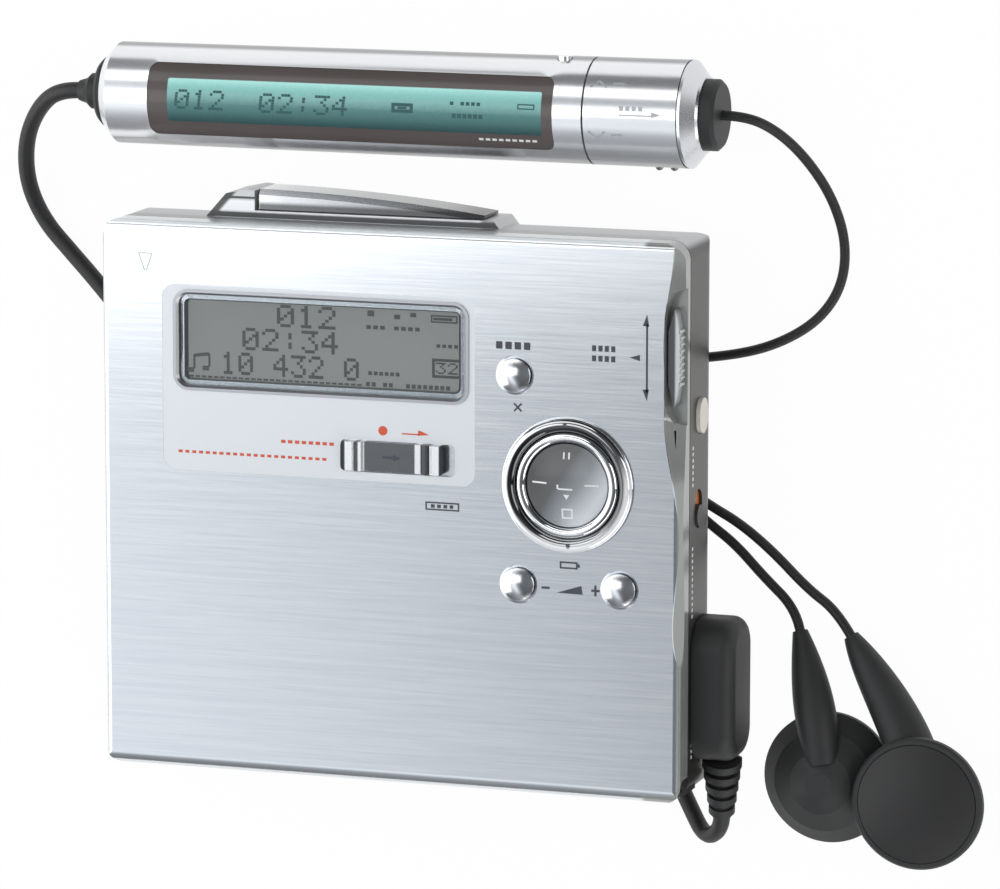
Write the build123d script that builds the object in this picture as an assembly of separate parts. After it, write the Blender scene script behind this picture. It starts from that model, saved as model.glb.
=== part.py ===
"""Pocket disc player with a hinged lid, its stick remote, and its earphones, laid flat.

Millimetres, +Z up.  Every piece is first placed from the middle of the player's back face
(X to the right of the front panel, Y towards the opening edge), with heights above the
table.  The whole set is then moved so that its middle stands on the origin.
"""
from build123d import *
import math
import os

# ---- disc cartridge
DISC_W = 72.0
DISC_D = 68.0
DISC_T = 5.0

# ---- the player's case
SIDE_ROOM = 3.5     # from the cartridge to the case's side
END_ROOM = 2.3      # from the cartridge to the hinge edge and the opening edge
W = DISC_W + 2 * SIDE_ROOM    # width
H = DISC_D + 2 * END_ROOM     # depth, hinge edge to opening edge
T = 17.0            # thickness, closed
REAR_T = 13.0       # height of the rear shell's rim
SEAM = 0.2          # gap between rim and lid
WALL = 1.0          # shell walls
SKIN = 1.0          # the lid's front panel
CORNER_R = 2.4      # upright corners of the outline
BACK_R = 5.5        # rounding of the rear shell's back edges
EDGE_R = 0.9        # rounding of the lid's front edges
SEAT = 0.1          # gap of a sliding or pressed piece in its hole
RUN = 0.04          # radial clearance of a running fit

# ---- the lid's hinge
HINGE_R = 1.8       # the lid's rolled edge
PIN_R = 0.5
EAR_R = 1.1
EAR_W = 2.2
EAR_GAP = 0.15

# ---- the disc's holder
SHEET = 0.4         # sheet metal
DISC_PLAY = 0.2
HOLDER_Z = 7.1
HOLDER_BACK = 1.7   # room behind the sleeve for its swing
HOLDER_D = DISC_D - 3.4    # depth of the sleeve
LIP_W = 6.0
HOLDER_PIVOT_Y = 3.9 - H / 2
HOLDER_PIVOT_Z = 9.8

# ---- drive
SPINDLE_Y = 1.5
MOTOR_R = 8.0
TABLE_R = 5.5
CHASSIS_W = 46.0
CHASSIS_D = 44.0
CHASSIS_Y = -9.5
CHASSIS_Z = 2.6
CHASSIS_T = 0.6
ROD_R = 0.6
ROD_X = 13.0
ROD_Z = 4.9
CARRIAGE_D = 9.0
CARRIAGE_T = 2.6
CARRIAGE_Y = -12.5
CARRIAGE_TRAVEL = 9.0
SCREW_X = 17.5
SCREW_R = 0.9
BOARD_T = 0.6

# ---- cell
CELL_L = W - 12.0
CELL_W = 17.0
CELL_T = 5.4
CELL_X = -1.9
CELL_Y = H / 2 - 11.2
CELL_Z = 1.6
CELL_R = 1.2
DOOR_Z0 = 1.15
DOOR_Z1 = 9.4
DOOR_HINGE_R = 0.5
DOOR_PIN_R = 0.3
DOOR_PIN_LEN = 0.6

# ---- front panel controls
GLASS_W, GLASS_H, GLASS_R = 39.2, 11.9, 1.4
GLASS_X, GLASS_Y = GLASS_W / 2 - 28.8, 26.85 - GLASS_H / 2
PLATE_W, PLATE_H, PLATE_R = GLASS_W + 3.7, GLASS_H + 12.6, 1.8
PLATE_X, PLATE_Y = PLATE_W / 2 - 31.0, 28.15 - PLATE_H / 2
BEZEL_W = 0.7
REC_X, REC_Y, REC_W, REC_H = 1.4, 6.9, 15.6, 4.2
REC_TRAVEL = 1.1
RING_X, RING_Y, RING_R = 24.45, 4.68, 8.8
PAD_R = 5.4
PAD_TRAVEL = 0.4
BUTTON_R = 2.1
BUTTON_TRAVEL = 0.4
BUTTON_PROUD = 0.9
BUTTON_RIM = 0.35
FLANGE_T = 0.3
FLANGE_LIP = 0.5
GROUP_AT = (17.3, 18.54)
VOL_DOWN_AT = (17.83, -8.6)
VOL_UP_AT = (31.42, -8.55)

# ---- side controls
JOG_Y0, JOG_Y1 = 12.8, 30.5
JOG_DEPTH = 2.3
JOG_FLOOR = 14.2
JOG_LEN = 12.6
JOG_TRAVEL = 1.5
SIDE_Y, SIDE_Z, SIDE_L, SIDE_H = 13.2, 8.4, 4.6, 3.6
SIDE_PROUD = 0.5
SIDE_TRAVEL = 0.5
HOLD_Y, HOLD_Z, HOLD_L, HOLD_H = 1.15, 9.0, 5.1, 4.4
HOLD_TRAVEL = 1.8
HOLD_DEPTH = 0.5
OPEN_X0, OPEN_X1 = -20.2, 10.6
OPEN_Z0, OPEN_Z1 = 3.6, 9.8
OPEN_TRAVEL = 2.5
HUMP_X0, HUMP_X1 = -27.7, 13.4

# ---- sockets and plug
JACK_R = 1.8
JACK_BODY = 5.2
JACK_LEN = 13.0
JACK_Y = -19.0
JACK_Z = 4.25
PLUG_PIN_R = 1.75

# ---- stick remote
REM_X0, REM_SEAM, REM_KNOB_END = -41.6, 24.95, 37.5
REM_Y = 51.7
REM_Z = 9.4
REM_R0 = 6.65
REM_R1 = 6.95
REM_WALL = 0.9
REM_CAP_R = 4.6
REM_WIN_X0, REM_WIN_X1, REM_WIN_W = -34.3, 21.1, 9.4
REM_LCD_X0, REM_LCD_X1, REM_LCD_W = -31.5, 19.6, 5.6
REM_JACK_R = 3.4
CLIP_X0, CLIP_X1, CLIP_W, CLIP_T = -24.0, 12.0, 7.0, 0.8
CLIP_PIN_Z, CLIP_PIN_R = 1.5, 0.4

# ---- earbuds
BUD_R = 8.65
BUD_RIM_T = 1.6
BUD_FACE_T = 1.5
BUD_DOME_T = 4.7
BUD_L_AT = (54.75, -35.0)
BUD_R_AT = (68.1, -36.3)
BUD_R_RIM_Z = 8.8       # front of the upper earbud's rim

# ---- cords
LEAD_D = 2.2
THIN_D = 1.3
LIFT = LEAD_D + 0.3     # the player lies on its own put-away cords

HINGE_Y = -H / 2 + HINGE_R
HINGE_Z = T - HINGE_R
LID_Z = REAR_T + SEAM


# ======================================================= small helpers
def block(x0, x1, y0, y1, z0, z1):
    """A box between two corners."""
    size = (x1 - x0, y1 - y0, z1 - z0)
    return Pos((x0 + x1) / 2, (y0 + y1) / 2, (z0 + z1) / 2) * Box(*size)


def slab(x, y, w, h, r, z0, z1):
    """An upright plate with rounded corners."""
    return Pos(x, y, z0) * extrude(RectangleRounded(w, h, r), z1 - z0)


def rod_z(x, y, r, z0, z1):
    """A round bar along Z."""
    return Pos(x, y, (z0 + z1) / 2) * Cylinder(r, z1 - z0)


def rod_x(y, z, r, x0, x1):
    """A round bar along X."""
    return Pos((x0 + x1) / 2, y, z) * Rot(0, 90, 0) * Cylinder(r, x1 - x0)


def rod_y(x, z, r, y0, y1):
    """A round bar along Y."""
    return Pos(x, (y0 + y1) / 2, z) * Rot(90, 0, 0) * Cylinder(r, y1 - y0)


def slot_x(y, z, length, height, x0, x1):
    """A bar along X whose section is an oblong, long way along Y."""
    core = block(x0, x1, y - (length - height) / 2, y + (length - height) / 2, z - height / 2, z + height / 2)
    for side in (-1, 1):
        core += rod_x(y + side * (length - height) / 2, z, height / 2, x0, x1)
    return core


def turned(points, x=0.0, y=0.0):
    """A piece turned about Z from its (radius, height) outline."""
    face = make_face(Plane.XZ * Polyline(*points, close=True))
    return Pos(x, y, 0) * revolve(face, Axis.Z)


def dome(r, z, rise):
    """A shallow dome's profile, from its edge to its top on the axis."""
    big = (r ** 2 + rise ** 2) / (2 * abs(rise))
    sink = (big - math.sqrt(big ** 2 - (r / 2) ** 2)) * math.copysign(1, rise)
    return ThreePointArc((r, z), (r / 2, z + rise - sink), (0, z + rise))


def case_form(inset, z0, z1):
    """The case outline pulled in by inset, its back edges rounded, between two heights."""
    w, h, r = W - 2 * inset, H - 2 * inset, BACK_R - inset
    top = T + 10
    across = Plane.XZ * Pos(0, (inset + top) / 2) * RectangleRounded(w, top - inset, r)
    along = Plane.YZ * Pos(0, (inset + top) / 2) * RectangleRounded(h, top - inset, r)
    form = extrude(across, h / 2, both=True) & extrude(along, w / 2, both=True)
    corner = max(CORNER_R - inset, 0.8)
    return form & slab(0, 0, w, h, corner, z0, z1)


# ======================================================= rear shell and its fixed pieces
IN_X = W / 2 - WALL
IN_Y = H / 2 - WALL
SCREW_AT = [(sx * 31.0, y) for sx in (-1, 1) for y in (-26.5, 10.0)]
SCREW_HEAD_R, SCREW_SHANK_R, SCREW_LEN = 1.3, 0.6, 3.0
CELL_END = CELL_X + CELL_L / 2
CONTACT_T = 0.4
SLIDE_FACE_Y = H / 2 + 1.0      # the opener slides on this face of the hump
HOLDER_X = DISC_W / 2 + DISC_PLAY
HOLDER_TOP = HOLDER_Z + SHEET + DISC_T + SHEET
EAR_X1 = W / 2 - 0.2
EAR_X0 = EAR_X1 - EAR_W


def hump():
    """The raised housing on the opening edge that carries the opener."""
    y0 = H / 2 - WALL / 2
    left, peak = HUMP_X0, OPEN_X0 - 0.3
    outline = Polyline((left, y0), (left + 3.2, H / 2 + 3.1), (peak - 1.2, H / 2 + 3.7), (peak, H / 2 + 3.6),
                       (peak, SLIDE_FACE_Y), (HUMP_X1 - 1.2, SLIDE_FACE_Y), (HUMP_X1, y0), close=True)
    body = Pos(0, 0, OPEN_Z0 - 0.8) * extrude(make_face(outline), OPEN_Z1 - OPEN_Z0 + 1.6)
    peaks = body.edges().filter_by(Axis.Z).group_by(Axis.Y)[-1]
    return fillet(peaks, 0.35)


def ear(side):
    """One hinge ear standing on the rear shell's rim, round about the lid's axis."""
    x0, x1 = sorted((side * EAR_X0, side * EAR_X1))
    stalk = block(x0, x1, HINGE_Y - EAR_R, HINGE_Y + EAR_R, REAR_T - 4, HINGE_Z)
    return stalk + rod_x(HINGE_Y, HINGE_Z, EAR_R, x0, x1)


def door_ends(gap):
    """The battery door's two ends, pulled in by gap."""
    return CELL_Y - CELL_W / 2 - 0.9 + gap, CELL_Y + CELL_W / 2 + 0.5 - gap


def door_zone(gap):
    """The part of the case that the battery door takes up, pulled in by gap."""
    y0, y1 = door_ends(gap)
    return block(-W / 2 - 1, -W / 2 + 3.2 - gap, y0, y1, DOOR_Z0 + gap, DOOR_Z1 - gap)


def rear_shell():
    """The deep rear half of the case, with its ears, hump, bosses and openings."""
    body = case_form(0, 0, REAR_T) - case_form(WALL, WALL, REAR_T + 1)
    body += hump() + ear(-1) + ear(1)
    tray_x0, tray_x1 = -IN_X + 4.6, CELL_END
    body += block(tray_x0, tray_x1, CELL_Y - CELL_W / 2, IN_Y - 4.4, WALL / 2, CELL_Z)
    rib_x = CELL_END + CONTACT_T
    body += block(rib_x, rib_x + WALL, CELL_Y - CELL_W / 2, IN_Y - 2.0, WALL / 2, CELL_Z + CELL_T - 0.4)
    rib_y = CELL_Y - CELL_W / 2 - SEAT
    body += block(tray_x0, rib_x, rib_y - 0.8, rib_y, WALL / 2, CELL_Z + CELL_T - 0.4)
    for x, y in SCREW_AT:
        body += rod_z(x, y, SCREW_SHANK_R + 1.0, WALL / 2, SCREW_LEN + 0.4)
        body -= rod_z(x, y, SCREW_SHANK_R, -1, SCREW_LEN) + rod_z(x, y, SCREW_HEAD_R, -1, 0.55)
    for side in (-1, 1):
        ends = sorted((side * (HOLDER_X + SHEET + SEAT), side * (IN_X + WALL / 2)))
        body += rod_x(HOLDER_PIVOT_Y, HOLDER_PIVOT_Z, PIN_R + 0.7, *ends)
        ends = sorted((side * HOLDER_X, side * (IN_X + WALL / 2)))
        body += rod_x(HOLDER_PIVOT_Y, HOLDER_PIVOT_Z, PIN_R, *ends)
        ends = sorted((side * EAR_X0, side * W / 2))
        body -= rod_x(HINGE_Y, HINGE_Z, PIN_R, *ends)
    body -= door_zone(0)
    y0, y1 = door_ends(-DOOR_PIN_LEN - SEAT)
    body -= rod_y(*DOOR_HINGE, DOOR_PIN_R + RUN, y0, y1)
    for side in (-1, 1):
        ends = sorted((side * (IN_X - 2), side * W))
        body -= rod_x(JACK_Y, JACK_Z, JACK_BODY / 2, *ends)
    body -= slot_x(SIDE_Y, SIDE_Z, SIDE_L + 2 * SEAT, SIDE_H + 2 * SEAT, IN_X - 1, W)
    body -= slot_x(HOLD_Y, HOLD_Z, HOLD_L, HOLD_H - 1.2, W / 2 - HOLD_DEPTH, W)
    body -= block(IN_X - 1, W, HOLD_Y - 2.0, HOLD_Y + 2.0, HOLD_Z - 0.5, HOLD_Z + 0.5)
    stem_z = (OPEN_Z0 + OPEN_Z1) / 2
    body -= block(OPEN_X0 + 4, OPEN_X0 + 14 + OPEN_TRAVEL, IN_Y - 1, H, stem_z - 1.1, stem_z + 1.1)
    return body


def battery_door():
    """The curved piece of case over the cell's end, round about its own hinge at the top."""
    axis_x, axis_z = DOOR_HINGE
    body = (case_form(0, 0, REAR_T) - case_form(WALL, WALL, REAR_T)) & door_zone(SEAT)
    keep = block(-W, 0, -H, H, 0, axis_z) + rod_y(axis_x, axis_z, DOOR_HINGE_R, -H, H)
    y0, y1 = door_ends(SEAT)
    pins = rod_y(axis_x, axis_z, DOOR_PIN_R, y0 - DOOR_PIN_LEN, y0 + 1) + rod_y(
        axis_x, axis_z, DOOR_PIN_R, y1 - 1, y1 + DOOR_PIN_LEN)
    return (body & keep) + pins


DOOR_HINGE = (-W / 2 + DOOR_HINGE_R, DOOR_Z1 - SEAT - DOOR_HINGE_R)


def battery_cell():
    """The flat rechargeable cell, with its raised positive end."""
    body = rod_like(CELL_L, CELL_W, CELL_T, CELL_R)
    return Pos(CELL_X, CELL_Y, CELL_Z + CELL_T / 2) * body


def rod_like(length, width, thick, r):
    """A bar along X with rounded long edges."""
    face = Plane.YZ * RectangleRounded(width, thick, r)
    return extrude(face, length / 2, both=True)


def battery_contacts():
    """Two sprung contact leaves against the cell's inner end."""
    z0, z1 = CELL_Z + 1.0, CELL_Z + CELL_T - 1.0
    leaves = [block(CELL_END, CELL_END + CONTACT_T, y - 1.6, y + 1.6, z0, z1) for y in (CELL_Y - 4.5, CELL_Y + 3.5)]
    return leaves


def jack(side, depth=JACK_LEN):
    """A round socket in its square body, its nose through the case wall."""
    x_in, x_wall, x_out = side * (IN_X - depth + WALL), side * IN_X, side * (W / 2 - 0.1)
    half = JACK_BODY / 2
    body = block(*sorted((x_in, x_wall)), JACK_Y - half, JACK_Y + half, JACK_Z - half, JACK_Z + half)
    body &= case_form(WALL + 0.02, 0, T)
    body += rod_x(JACK_Y, JACK_Z, half, *sorted((x_wall, x_out)))
    return body - rod_x(JACK_Y, JACK_Z, JACK_R, *sorted((x_in + side * 0.8, side * W)))


def main_board():
    """The circuit board on the rear floor, with its larger chips."""
    board = block(-28, 28, -30.5, 15, WALL, WALL + BOARD_T)
    for x, y, w, h in ((-8, -16, 9, 9), (9, -20, 7, 7), (-6, 6, 10, 6), (13, 4, 6, 5)):
        board += slab(x, y, w, h, 0.3, WALL + BOARD_T, WALL + BOARD_T + 0.7)
    return board


def chassis_plate():
    """The mechanism plate: posts down to the board, rod and screw brackets, motor seat."""
    z1 = CHASSIS_Z + CHASSIS_T
    body = slab(0, CHASSIS_Y, CHASSIS_W, CHASSIS_D, 2.0, CHASSIS_Z, z1)
    body -= slab(0, CARRIAGE_Y - CARRIAGE_TRAVEL / 2, 15, CARRIAGE_D + CARRIAGE_TRAVEL, 1.0, 0, T)
    for x in (-20.5, 20.5):
        for y in (CHASSIS_Y - 19, CHASSIS_Y + 19):
            body += rod_z(x, y, 1.4, WALL + BOARD_T, CHASSIS_Z + 0.1)
    for y in BRACKET_Y:
        for x in (-ROD_X, ROD_X):
            body += block(x - 1.3, x + 1.3, y, y + 1.0, z1 - 0.1, ROD_Z + 1.2)
            body -= rod_y(x, ROD_Z, ROD_R, y - 1, y + 2)
        body += block(SCREW_X - 1.6, SCREW_X + 1.6, y, y + 1.0, z1 - 0.1, ROD_Z + 1.5)
        body -= rod_y(SCREW_X, ROD_Z, SCREW_R * 0.6 + RUN, y - 1, y + 2)
    return body


ROD_Y0 = CARRIAGE_Y - CARRIAGE_TRAVEL - CARRIAGE_D / 2 - 0.6
ROD_Y1 = CARRIAGE_Y + CARRIAGE_D / 2 + 0.6
BRACKET_Y = (ROD_Y0 - 1.0, ROD_Y1)


def guide_rods():
    """Two ground rods that the pickup slides on."""
    return [rod_y(x, ROD_Z, ROD_R, ROD_Y0 - 1.0, ROD_Y1 + 1.0) for x in (-ROD_X, ROD_X)]


def lead_screw():
    """The screw that drives the pickup, on thin journals."""
    body = rod_y(SCREW_X, ROD_Z, SCREW_R, ROD_Y0 + SEAT, ROD_Y1 - SEAT)
    body += rod_y(SCREW_X, ROD_Z, SCREW_R * 0.6, ROD_Y0 - 1.0, ROD_Y1 + 1.0)
    return body


def sled_motor():
    """The small can motor in line with the screw."""
    r = ROD_Z - CHASSIS_Z - CHASSIS_T
    y0 = ROD_Y1 + 1.0 + SEAT
    return rod_y(SCREW_X, ROD_Z, r, y0, y0 + 7.5) + rod_y(SCREW_X, ROD_Z, r * 0.5, y0 + 7.0, y0 + 8.2)


def optical_pickup():
    """The pickup sled with its lens, rod bores and screw nut."""
    y0, y1 = CARRIAGE_Y - CARRIAGE_D / 2, CARRIAGE_Y + CARRIAGE_D / 2
    z0, z1 = ROD_Z - CARRIAGE_T / 2, ROD_Z + CARRIAGE_T / 2
    body = block(-ROD_X - 1.6, ROD_X + 1.6, y0, y1, z0, z1)
    body += block(ROD_X, SCREW_X + 1.8, CARRIAGE_Y - 1.5, CARRIAGE_Y + 1.5, z0, z1)
    body += rod_z(0, CARRIAGE_Y, 3.2, z1 - 0.1, z1 + 0.4) + rod_z(0, CARRIAGE_Y, 1.7, z1, z1 + 0.8)
    for x in (-ROD_X, ROD_X):
        body -= rod_y(x, ROD_Z, ROD_R + RUN, y0 - 1, y1 + 1)
    return body - rod_y(SCREW_X, ROD_Z, SCREW_R + RUN, y0 - 1, y1 + 1)


def spindle_motor():
    """The flat motor under the disc."""
    z0 = CHASSIS_Z + CHASSIS_T
    body = rod_z(0, SPINDLE_Y, MOTOR_R, z0, z0 + 2.2) + rod_z(0, SPINDLE_Y, MOTOR_R * 0.7, z0 + 2.0, MOTOR_TOP)
    return body - rod_z(0, SPINDLE_Y, PIN_R + RUN, z0 + 0.6, T)


MOTOR_TOP = 6.3


def turntable():
    """The magnetic table that the disc's hub sits on, with its shaft."""
    z = MOTOR_TOP + SEAT
    outline = [(0, z - 2.4), (PIN_R, z - 2.4), (PIN_R, z), (TABLE_R, z), (TABLE_R, z + 0.5), (2.6, z + 0.5),
               (1.8, z + 0.9), (0, z + 0.9)]
    return turned(outline, 0, SPINDLE_Y)


def case_screws():
    """Four flush screws in the back of the case."""
    return [rod_z(x, y, SCREW_HEAD_R, 0.05, 0.55) + rod_z(x, y, SCREW_SHANK_R, 0.5, SCREW_LEN) for x, y in SCREW_AT]


def hinge_pins():
    """Two short pins through the ears into the lid's rolled edge."""
    return [rod_x(HINGE_Y, HINGE_Z, PIN_R, *sorted((s * (EAR_X0 - 2.0), s * (W / 2 - 0.35)))) for s in (-1, 1)]


# ======================================================= disc holder
def disc_holder():
    """The sheet-metal sleeve that takes the disc: a roof with a rear stop, on two lipped rails."""
    x_in, x_out = HOLDER_X, HOLDER_X + SHEET
    y0 = -IN_Y + HOLDER_BACK
    y1 = y0 + HOLDER_D
    under = HOLDER_TOP - SHEET
    roof = block(-x_out, x_out, y0, y1, under, HOLDER_TOP)
    roof += block(-x_in, x_in, y0 - SHEET, y0 + 0.01, under - DISC_T * 0.4, HOLDER_TOP)
    window_y = CARRIAGE_Y - CARRIAGE_TRAVEL / 2
    roof -= slab(0, window_y, 9.0, CARRIAGE_TRAVEL + 12.0, 1.0, under - 1, HOLDER_TOP + 1)
    roof -= slab(0, y1 + 1, 30, 14, 4.0, under - 1, HOLDER_TOP + 1)
    rails = []
    for side in (-1, 1):
        rail = block(*sorted((side * x_in, side * x_out)), y0, y1, HOLDER_Z, under)
        rail += block(*sorted((side * (x_in - LIP_W), side * x_out)), y0, y1, HOLDER_Z, HOLDER_Z + SHEET)
        ends = sorted((side * (x_in - 1), side * (x_out + 1)))
        rails.append(rail - rod_x(HOLDER_PIVOT_Y, HOLDER_PIVOT_Z, PIN_R + RUN, *ends))
    return [roof, *rails]


def magnetic_head():
    """The overwrite head on its thin arm, in the window of the holder's roof."""
    z0 = HOLDER_TOP - SHEET
    body = slab(0, CARRIAGE_Y, 5.0, 5.0, 0.8, z0, HOLDER_TOP + 0.1)
    body += block(-1.6, 1.6, CARRIAGE_Y, CARRIAGE_Y + 5.0, z0 + 0.1, z0 + 0.3)
    return body + slab(0, CARRIAGE_Y, 11.0, 3.2, 0.4, HOLDER_TOP + 0.02, HOLDER_TOP + 0.22)


def holder_springs():
    """Two leaf springs on the roof that press the disc down."""
    z = HOLDER_TOP
    return [block(x - 1.5, x + 1.5, y, y + 14, z, z + 0.12) for x, y in ((-24, 2), (24, 2))]


# ======================================================= lid
PANEL_LEDGE = 0.6       # depth of the display plate's seat
BOARD_Z = LID_Z + 0.9   # top of the lid frame


def side_inset(y):
    """How far the panel's right edge stands in from the wall: a long S along the side."""
    t = min(1.0, max(0.0, (y + 1.0) / 15.0))
    rise = t * t * (3 - 2 * t)
    u = min(1.0, max(0.0, (y - 26.0) / 8.0))
    fall = u * u * (3 - 2 * u)
    return 0.35 + 1.95 * rise - 1.1 * fall


def side_bevel():
    """The cutter that sweeps the S-shaped band along the lid's right edge."""
    faces = []
    for y in (-H / 2 - 1, -18.0, -1.0, 4.0, 9.0, 14.0, 20.0, 26.0, 30.0, 34.0, H / 2 + 1):
        inset = side_inset(y)
        drop = 0.9 + 0.6 * inset
        slope = Vector(inset, 0, -drop).normalized() * 0.6
        low, high = (W / 2 + slope.X, T - drop + slope.Z), (W / 2 - inset - slope.X, T - slope.Z)
        plane = Plane(origin=(0, y, 0), x_dir=(1, 0, 0), z_dir=(0, -1, 0))
        faces.append(plane * make_face(Polyline(high, low, (W / 2 + 2.0, T + 2.0), close=True)))
    return loft(faces)


def jog_recess():
    """The boat-shaped recess for the jog lever, open to the front and the side."""
    x0, x1 = W / 2 - JOG_DEPTH, W / 2 + 0.1
    outline = Polyline((x1, JOG_Y0), (x0 + 1.0, JOG_Y0 + 0.5), (x0 + 0.25, JOG_Y0 + 1.9), (x0, JOG_Y0 + 3.8),
                       (x0, JOG_Y1 - 3.8), (x0 + 0.25, JOG_Y1 - 1.9), (x0 + 1.0, JOG_Y1 - 0.5), (x1, JOG_Y1), close=True)
    return Pos(0, 0, JOG_FLOOR) * extrude(make_face(outline), T)


def lid_panel():
    """The lid's outer shell: rolled hinge edge, rounded edges, openings for every control."""
    tall = 2 * T
    across = extrude(Plane.XZ * Pos(0, T - tall / 2) * RectangleRounded(W, tall, EDGE_R), H, both=True)
    along = extrude(Plane.YZ * Pos(0, T - tall / 2) * RectangleRounded(H, tall, EDGE_R), W, both=True)
    body = slab(0, 0, W, H, CORNER_R, LID_Z, T) & across & along
    body &= block(-W, W, HINGE_Y, H, 0, T) + rod_x(HINGE_Y, HINGE_Z, HINGE_R, -W, W)
    inner_y0 = HINGE_Y + HINGE_R + 0.3
    body -= slab(0, (inner_y0 + IN_Y) / 2, 2 * IN_X, IN_Y - inner_y0, 1.4, 0, T - SKIN)
    jog_x0 = W / 2 - JOG_DEPTH - 1.0
    body += block(jog_x0, IN_X + 0.1, JOG_Y0 - 0.5, JOG_Y1 + 0.5, BOARD_Z, T - SKIN + 0.1)
    body -= side_bevel() + jog_recess()
    mid = (JOG_Y0 + JOG_Y1) / 2
    body -= block(jog_x0 - 1, W / 2, mid - 1.3 - JOG_TRAVEL, mid + 1.3 + JOG_TRAVEL, 14.9, 15.7)
    for side in (-1, 1):
        x0, x1 = sorted((side * (EAR_X0 - EAR_GAP), side * W))
        body -= rod_x(HINGE_Y, HINGE_Z, EAR_R + EAR_GAP, x0, x1)
        body -= block(x0, x1, -H, HINGE_Y + EAR_R + EAR_GAP, 0, HINGE_Z)
        body -= block(x0, x1, -H, HINGE_Y, 0, HINGE_Z + 0.45)
        x0, x1 = sorted((side * (EAR_X0 - 2.1), side * W))
        body -= rod_x(HINGE_Y, HINGE_Z, PIN_R + RUN, x0, x1)
    body -= slab(PLATE_X, PLATE_Y, PLATE_W, PLATE_H, PLATE_R, T - PANEL_LEDGE, T + 1)
    body -= slab(GLASS_X, GLASS_Y, GLASS_W - 1.2, GLASS_H - 1.2, GLASS_R - 0.6, 0, T)
    body -= slab(REC_X, REC_Y, 7.0, 1.8, 0.5, T - 2, T)
    body -= rod_z(RING_X, RING_Y, RING_R - 1.8, 0, T + 1)
    for x, y in (GROUP_AT, VOL_DOWN_AT, VOL_UP_AT):
        body -= rod_z(x, y, BUTTON_R + SEAT, 0, T + 1)
        sink = Pos(x, y, T - 0.15) * Cone(BUTTON_R + SEAT, BUTTON_R + SEAT + 0.35, 0.3)
        body -= sink
    return body


def display_plate():
    """The smooth inset plate round the display and the record slider."""
    body = slab(PLATE_X, PLATE_Y, PLATE_W, PLATE_H, PLATE_R, T - PANEL_LEDGE, T - 0.03)
    body -= slab(GLASS_X, GLASS_Y, GLASS_W + 2 * BEZEL_W, GLASS_H + 2 * BEZEL_W, GLASS_R + BEZEL_W, 0, T)
    return body - slab(REC_X, REC_Y, REC_W, REC_H, 0.7, 0, T)


def display_bezel():
    """The bright frame round the display window, chamfered inward."""
    z0, z1 = T - PANEL_LEDGE, T + 0.12
    body = slab(GLASS_X, GLASS_Y, GLASS_W + 2 * BEZEL_W, GLASS_H + 2 * BEZEL_W, GLASS_R + BEZEL_W, z0, z1)
    body -= slab(GLASS_X, GLASS_Y, GLASS_W, GLASS_H, GLASS_R, z0 - 1, z1 + 1)
    inner = body.edges().group_by(Axis.Z)[-1].filter_by(
        lambda e: abs(e.center().X - GLASS_X) <= GLASS_W / 2 + 0.01 and abs(e.center().Y - GLASS_Y) <= GLASS_H / 2 + 0.01)
    return chamfer(inner, 0.3)


def display_window():
    """The clear window, seated on the panel's ledge inside the bezel."""
    return slab(GLASS_X, GLASS_Y, GLASS_W, GLASS_H, GLASS_R, T - PANEL_LEDGE, T - 0.2)


def lcd_module():
    """The display module standing on the lid frame."""
    body = slab(GLASS_X, GLASS_Y, GLASS_W - 2.0, GLASS_H - 1.6, 0.6, BOARD_Z, T - PANEL_LEDGE - 0.5)
    return body + slab(GLASS_X, GLASS_Y - 1.0, GLASS_W - 1.4, GLASS_H + 2.0, 0.6, BOARD_Z, BOARD_Z + 0.8)


def lid_frame():
    """The frame across the lid's open back, with posts up to the skin."""
    z0 = BOARD_Z - 0.6
    y0, y1 = HINGE_Y + HINGE_R + 0.3, IN_Y
    body = slab(0, (y0 + y1) / 2, 2 * IN_X, y1 - y0, 1.4, z0, BOARD_Z)
    for x, y in ((-34, 31), (34, 32.5), (-34, -10), (-34, -28), (34, -28), (0, -28), (0, -10)):
        body += rod_z(x, y, 1.3, z0, T - SKIN)
    return body


def button_board():
    """The board under the buttons with one switch below each."""
    board = slab(24.5, 3.5, 21.0, 38.0, 1.0, BOARD_Z, BOARD_Z + 0.4)
    for x, y in (GROUP_AT, VOL_DOWN_AT, VOL_UP_AT):
        board += rod_z(x, y, 1.2, BOARD_Z + 0.4, T - SKIN - SEAT - FLANGE_T - BUTTON_TRAVEL - 0.1)
    return board


def dome_button(at, r=BUTTON_R):
    """A round domed button with its retaining flange under the skin."""
    x, y = at
    z = T - SKIN - SEAT
    face = make_face(
        Plane.XZ * (Polyline((0, z - FLANGE_T), (r + FLANGE_LIP, z - FLANGE_T), (r + FLANGE_LIP, z), (r, z),
                             (r, T + BUTTON_RIM))
                    + dome(r, T + BUTTON_RIM, BUTTON_PROUD - BUTTON_RIM)
                    + Line((0, T + BUTTON_PROUD), (0, z - FLANGE_T))))
    return Pos(x, y, 0) * revolve(face, Axis.Z)


def control_ring():
    """The chrome ring round the pad: a wide outer bead and a narrow inner one."""
    a, b, c = RING_R, RING_R - 1.9, PAD_R + 0.15
    z0 = T - SKIN - 0.4
    hub = RING_R - 1.8
    face = make_face(
        Plane.XZ * (ThreePointArc((a, T), ((a + b) / 2 + 0.15, T + 1.05), (b, T + 0.25))
                    + ThreePointArc((b, T + 0.25), ((b + c) / 2, T + 0.85), (c, T + 0.3))
                    + Polyline((c, T + 0.3), (c, z0), (hub, z0), (hub, T), (a, T))))
    return Pos(RING_X, RING_Y, 0) * revolve(face, Axis.Z)


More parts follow.
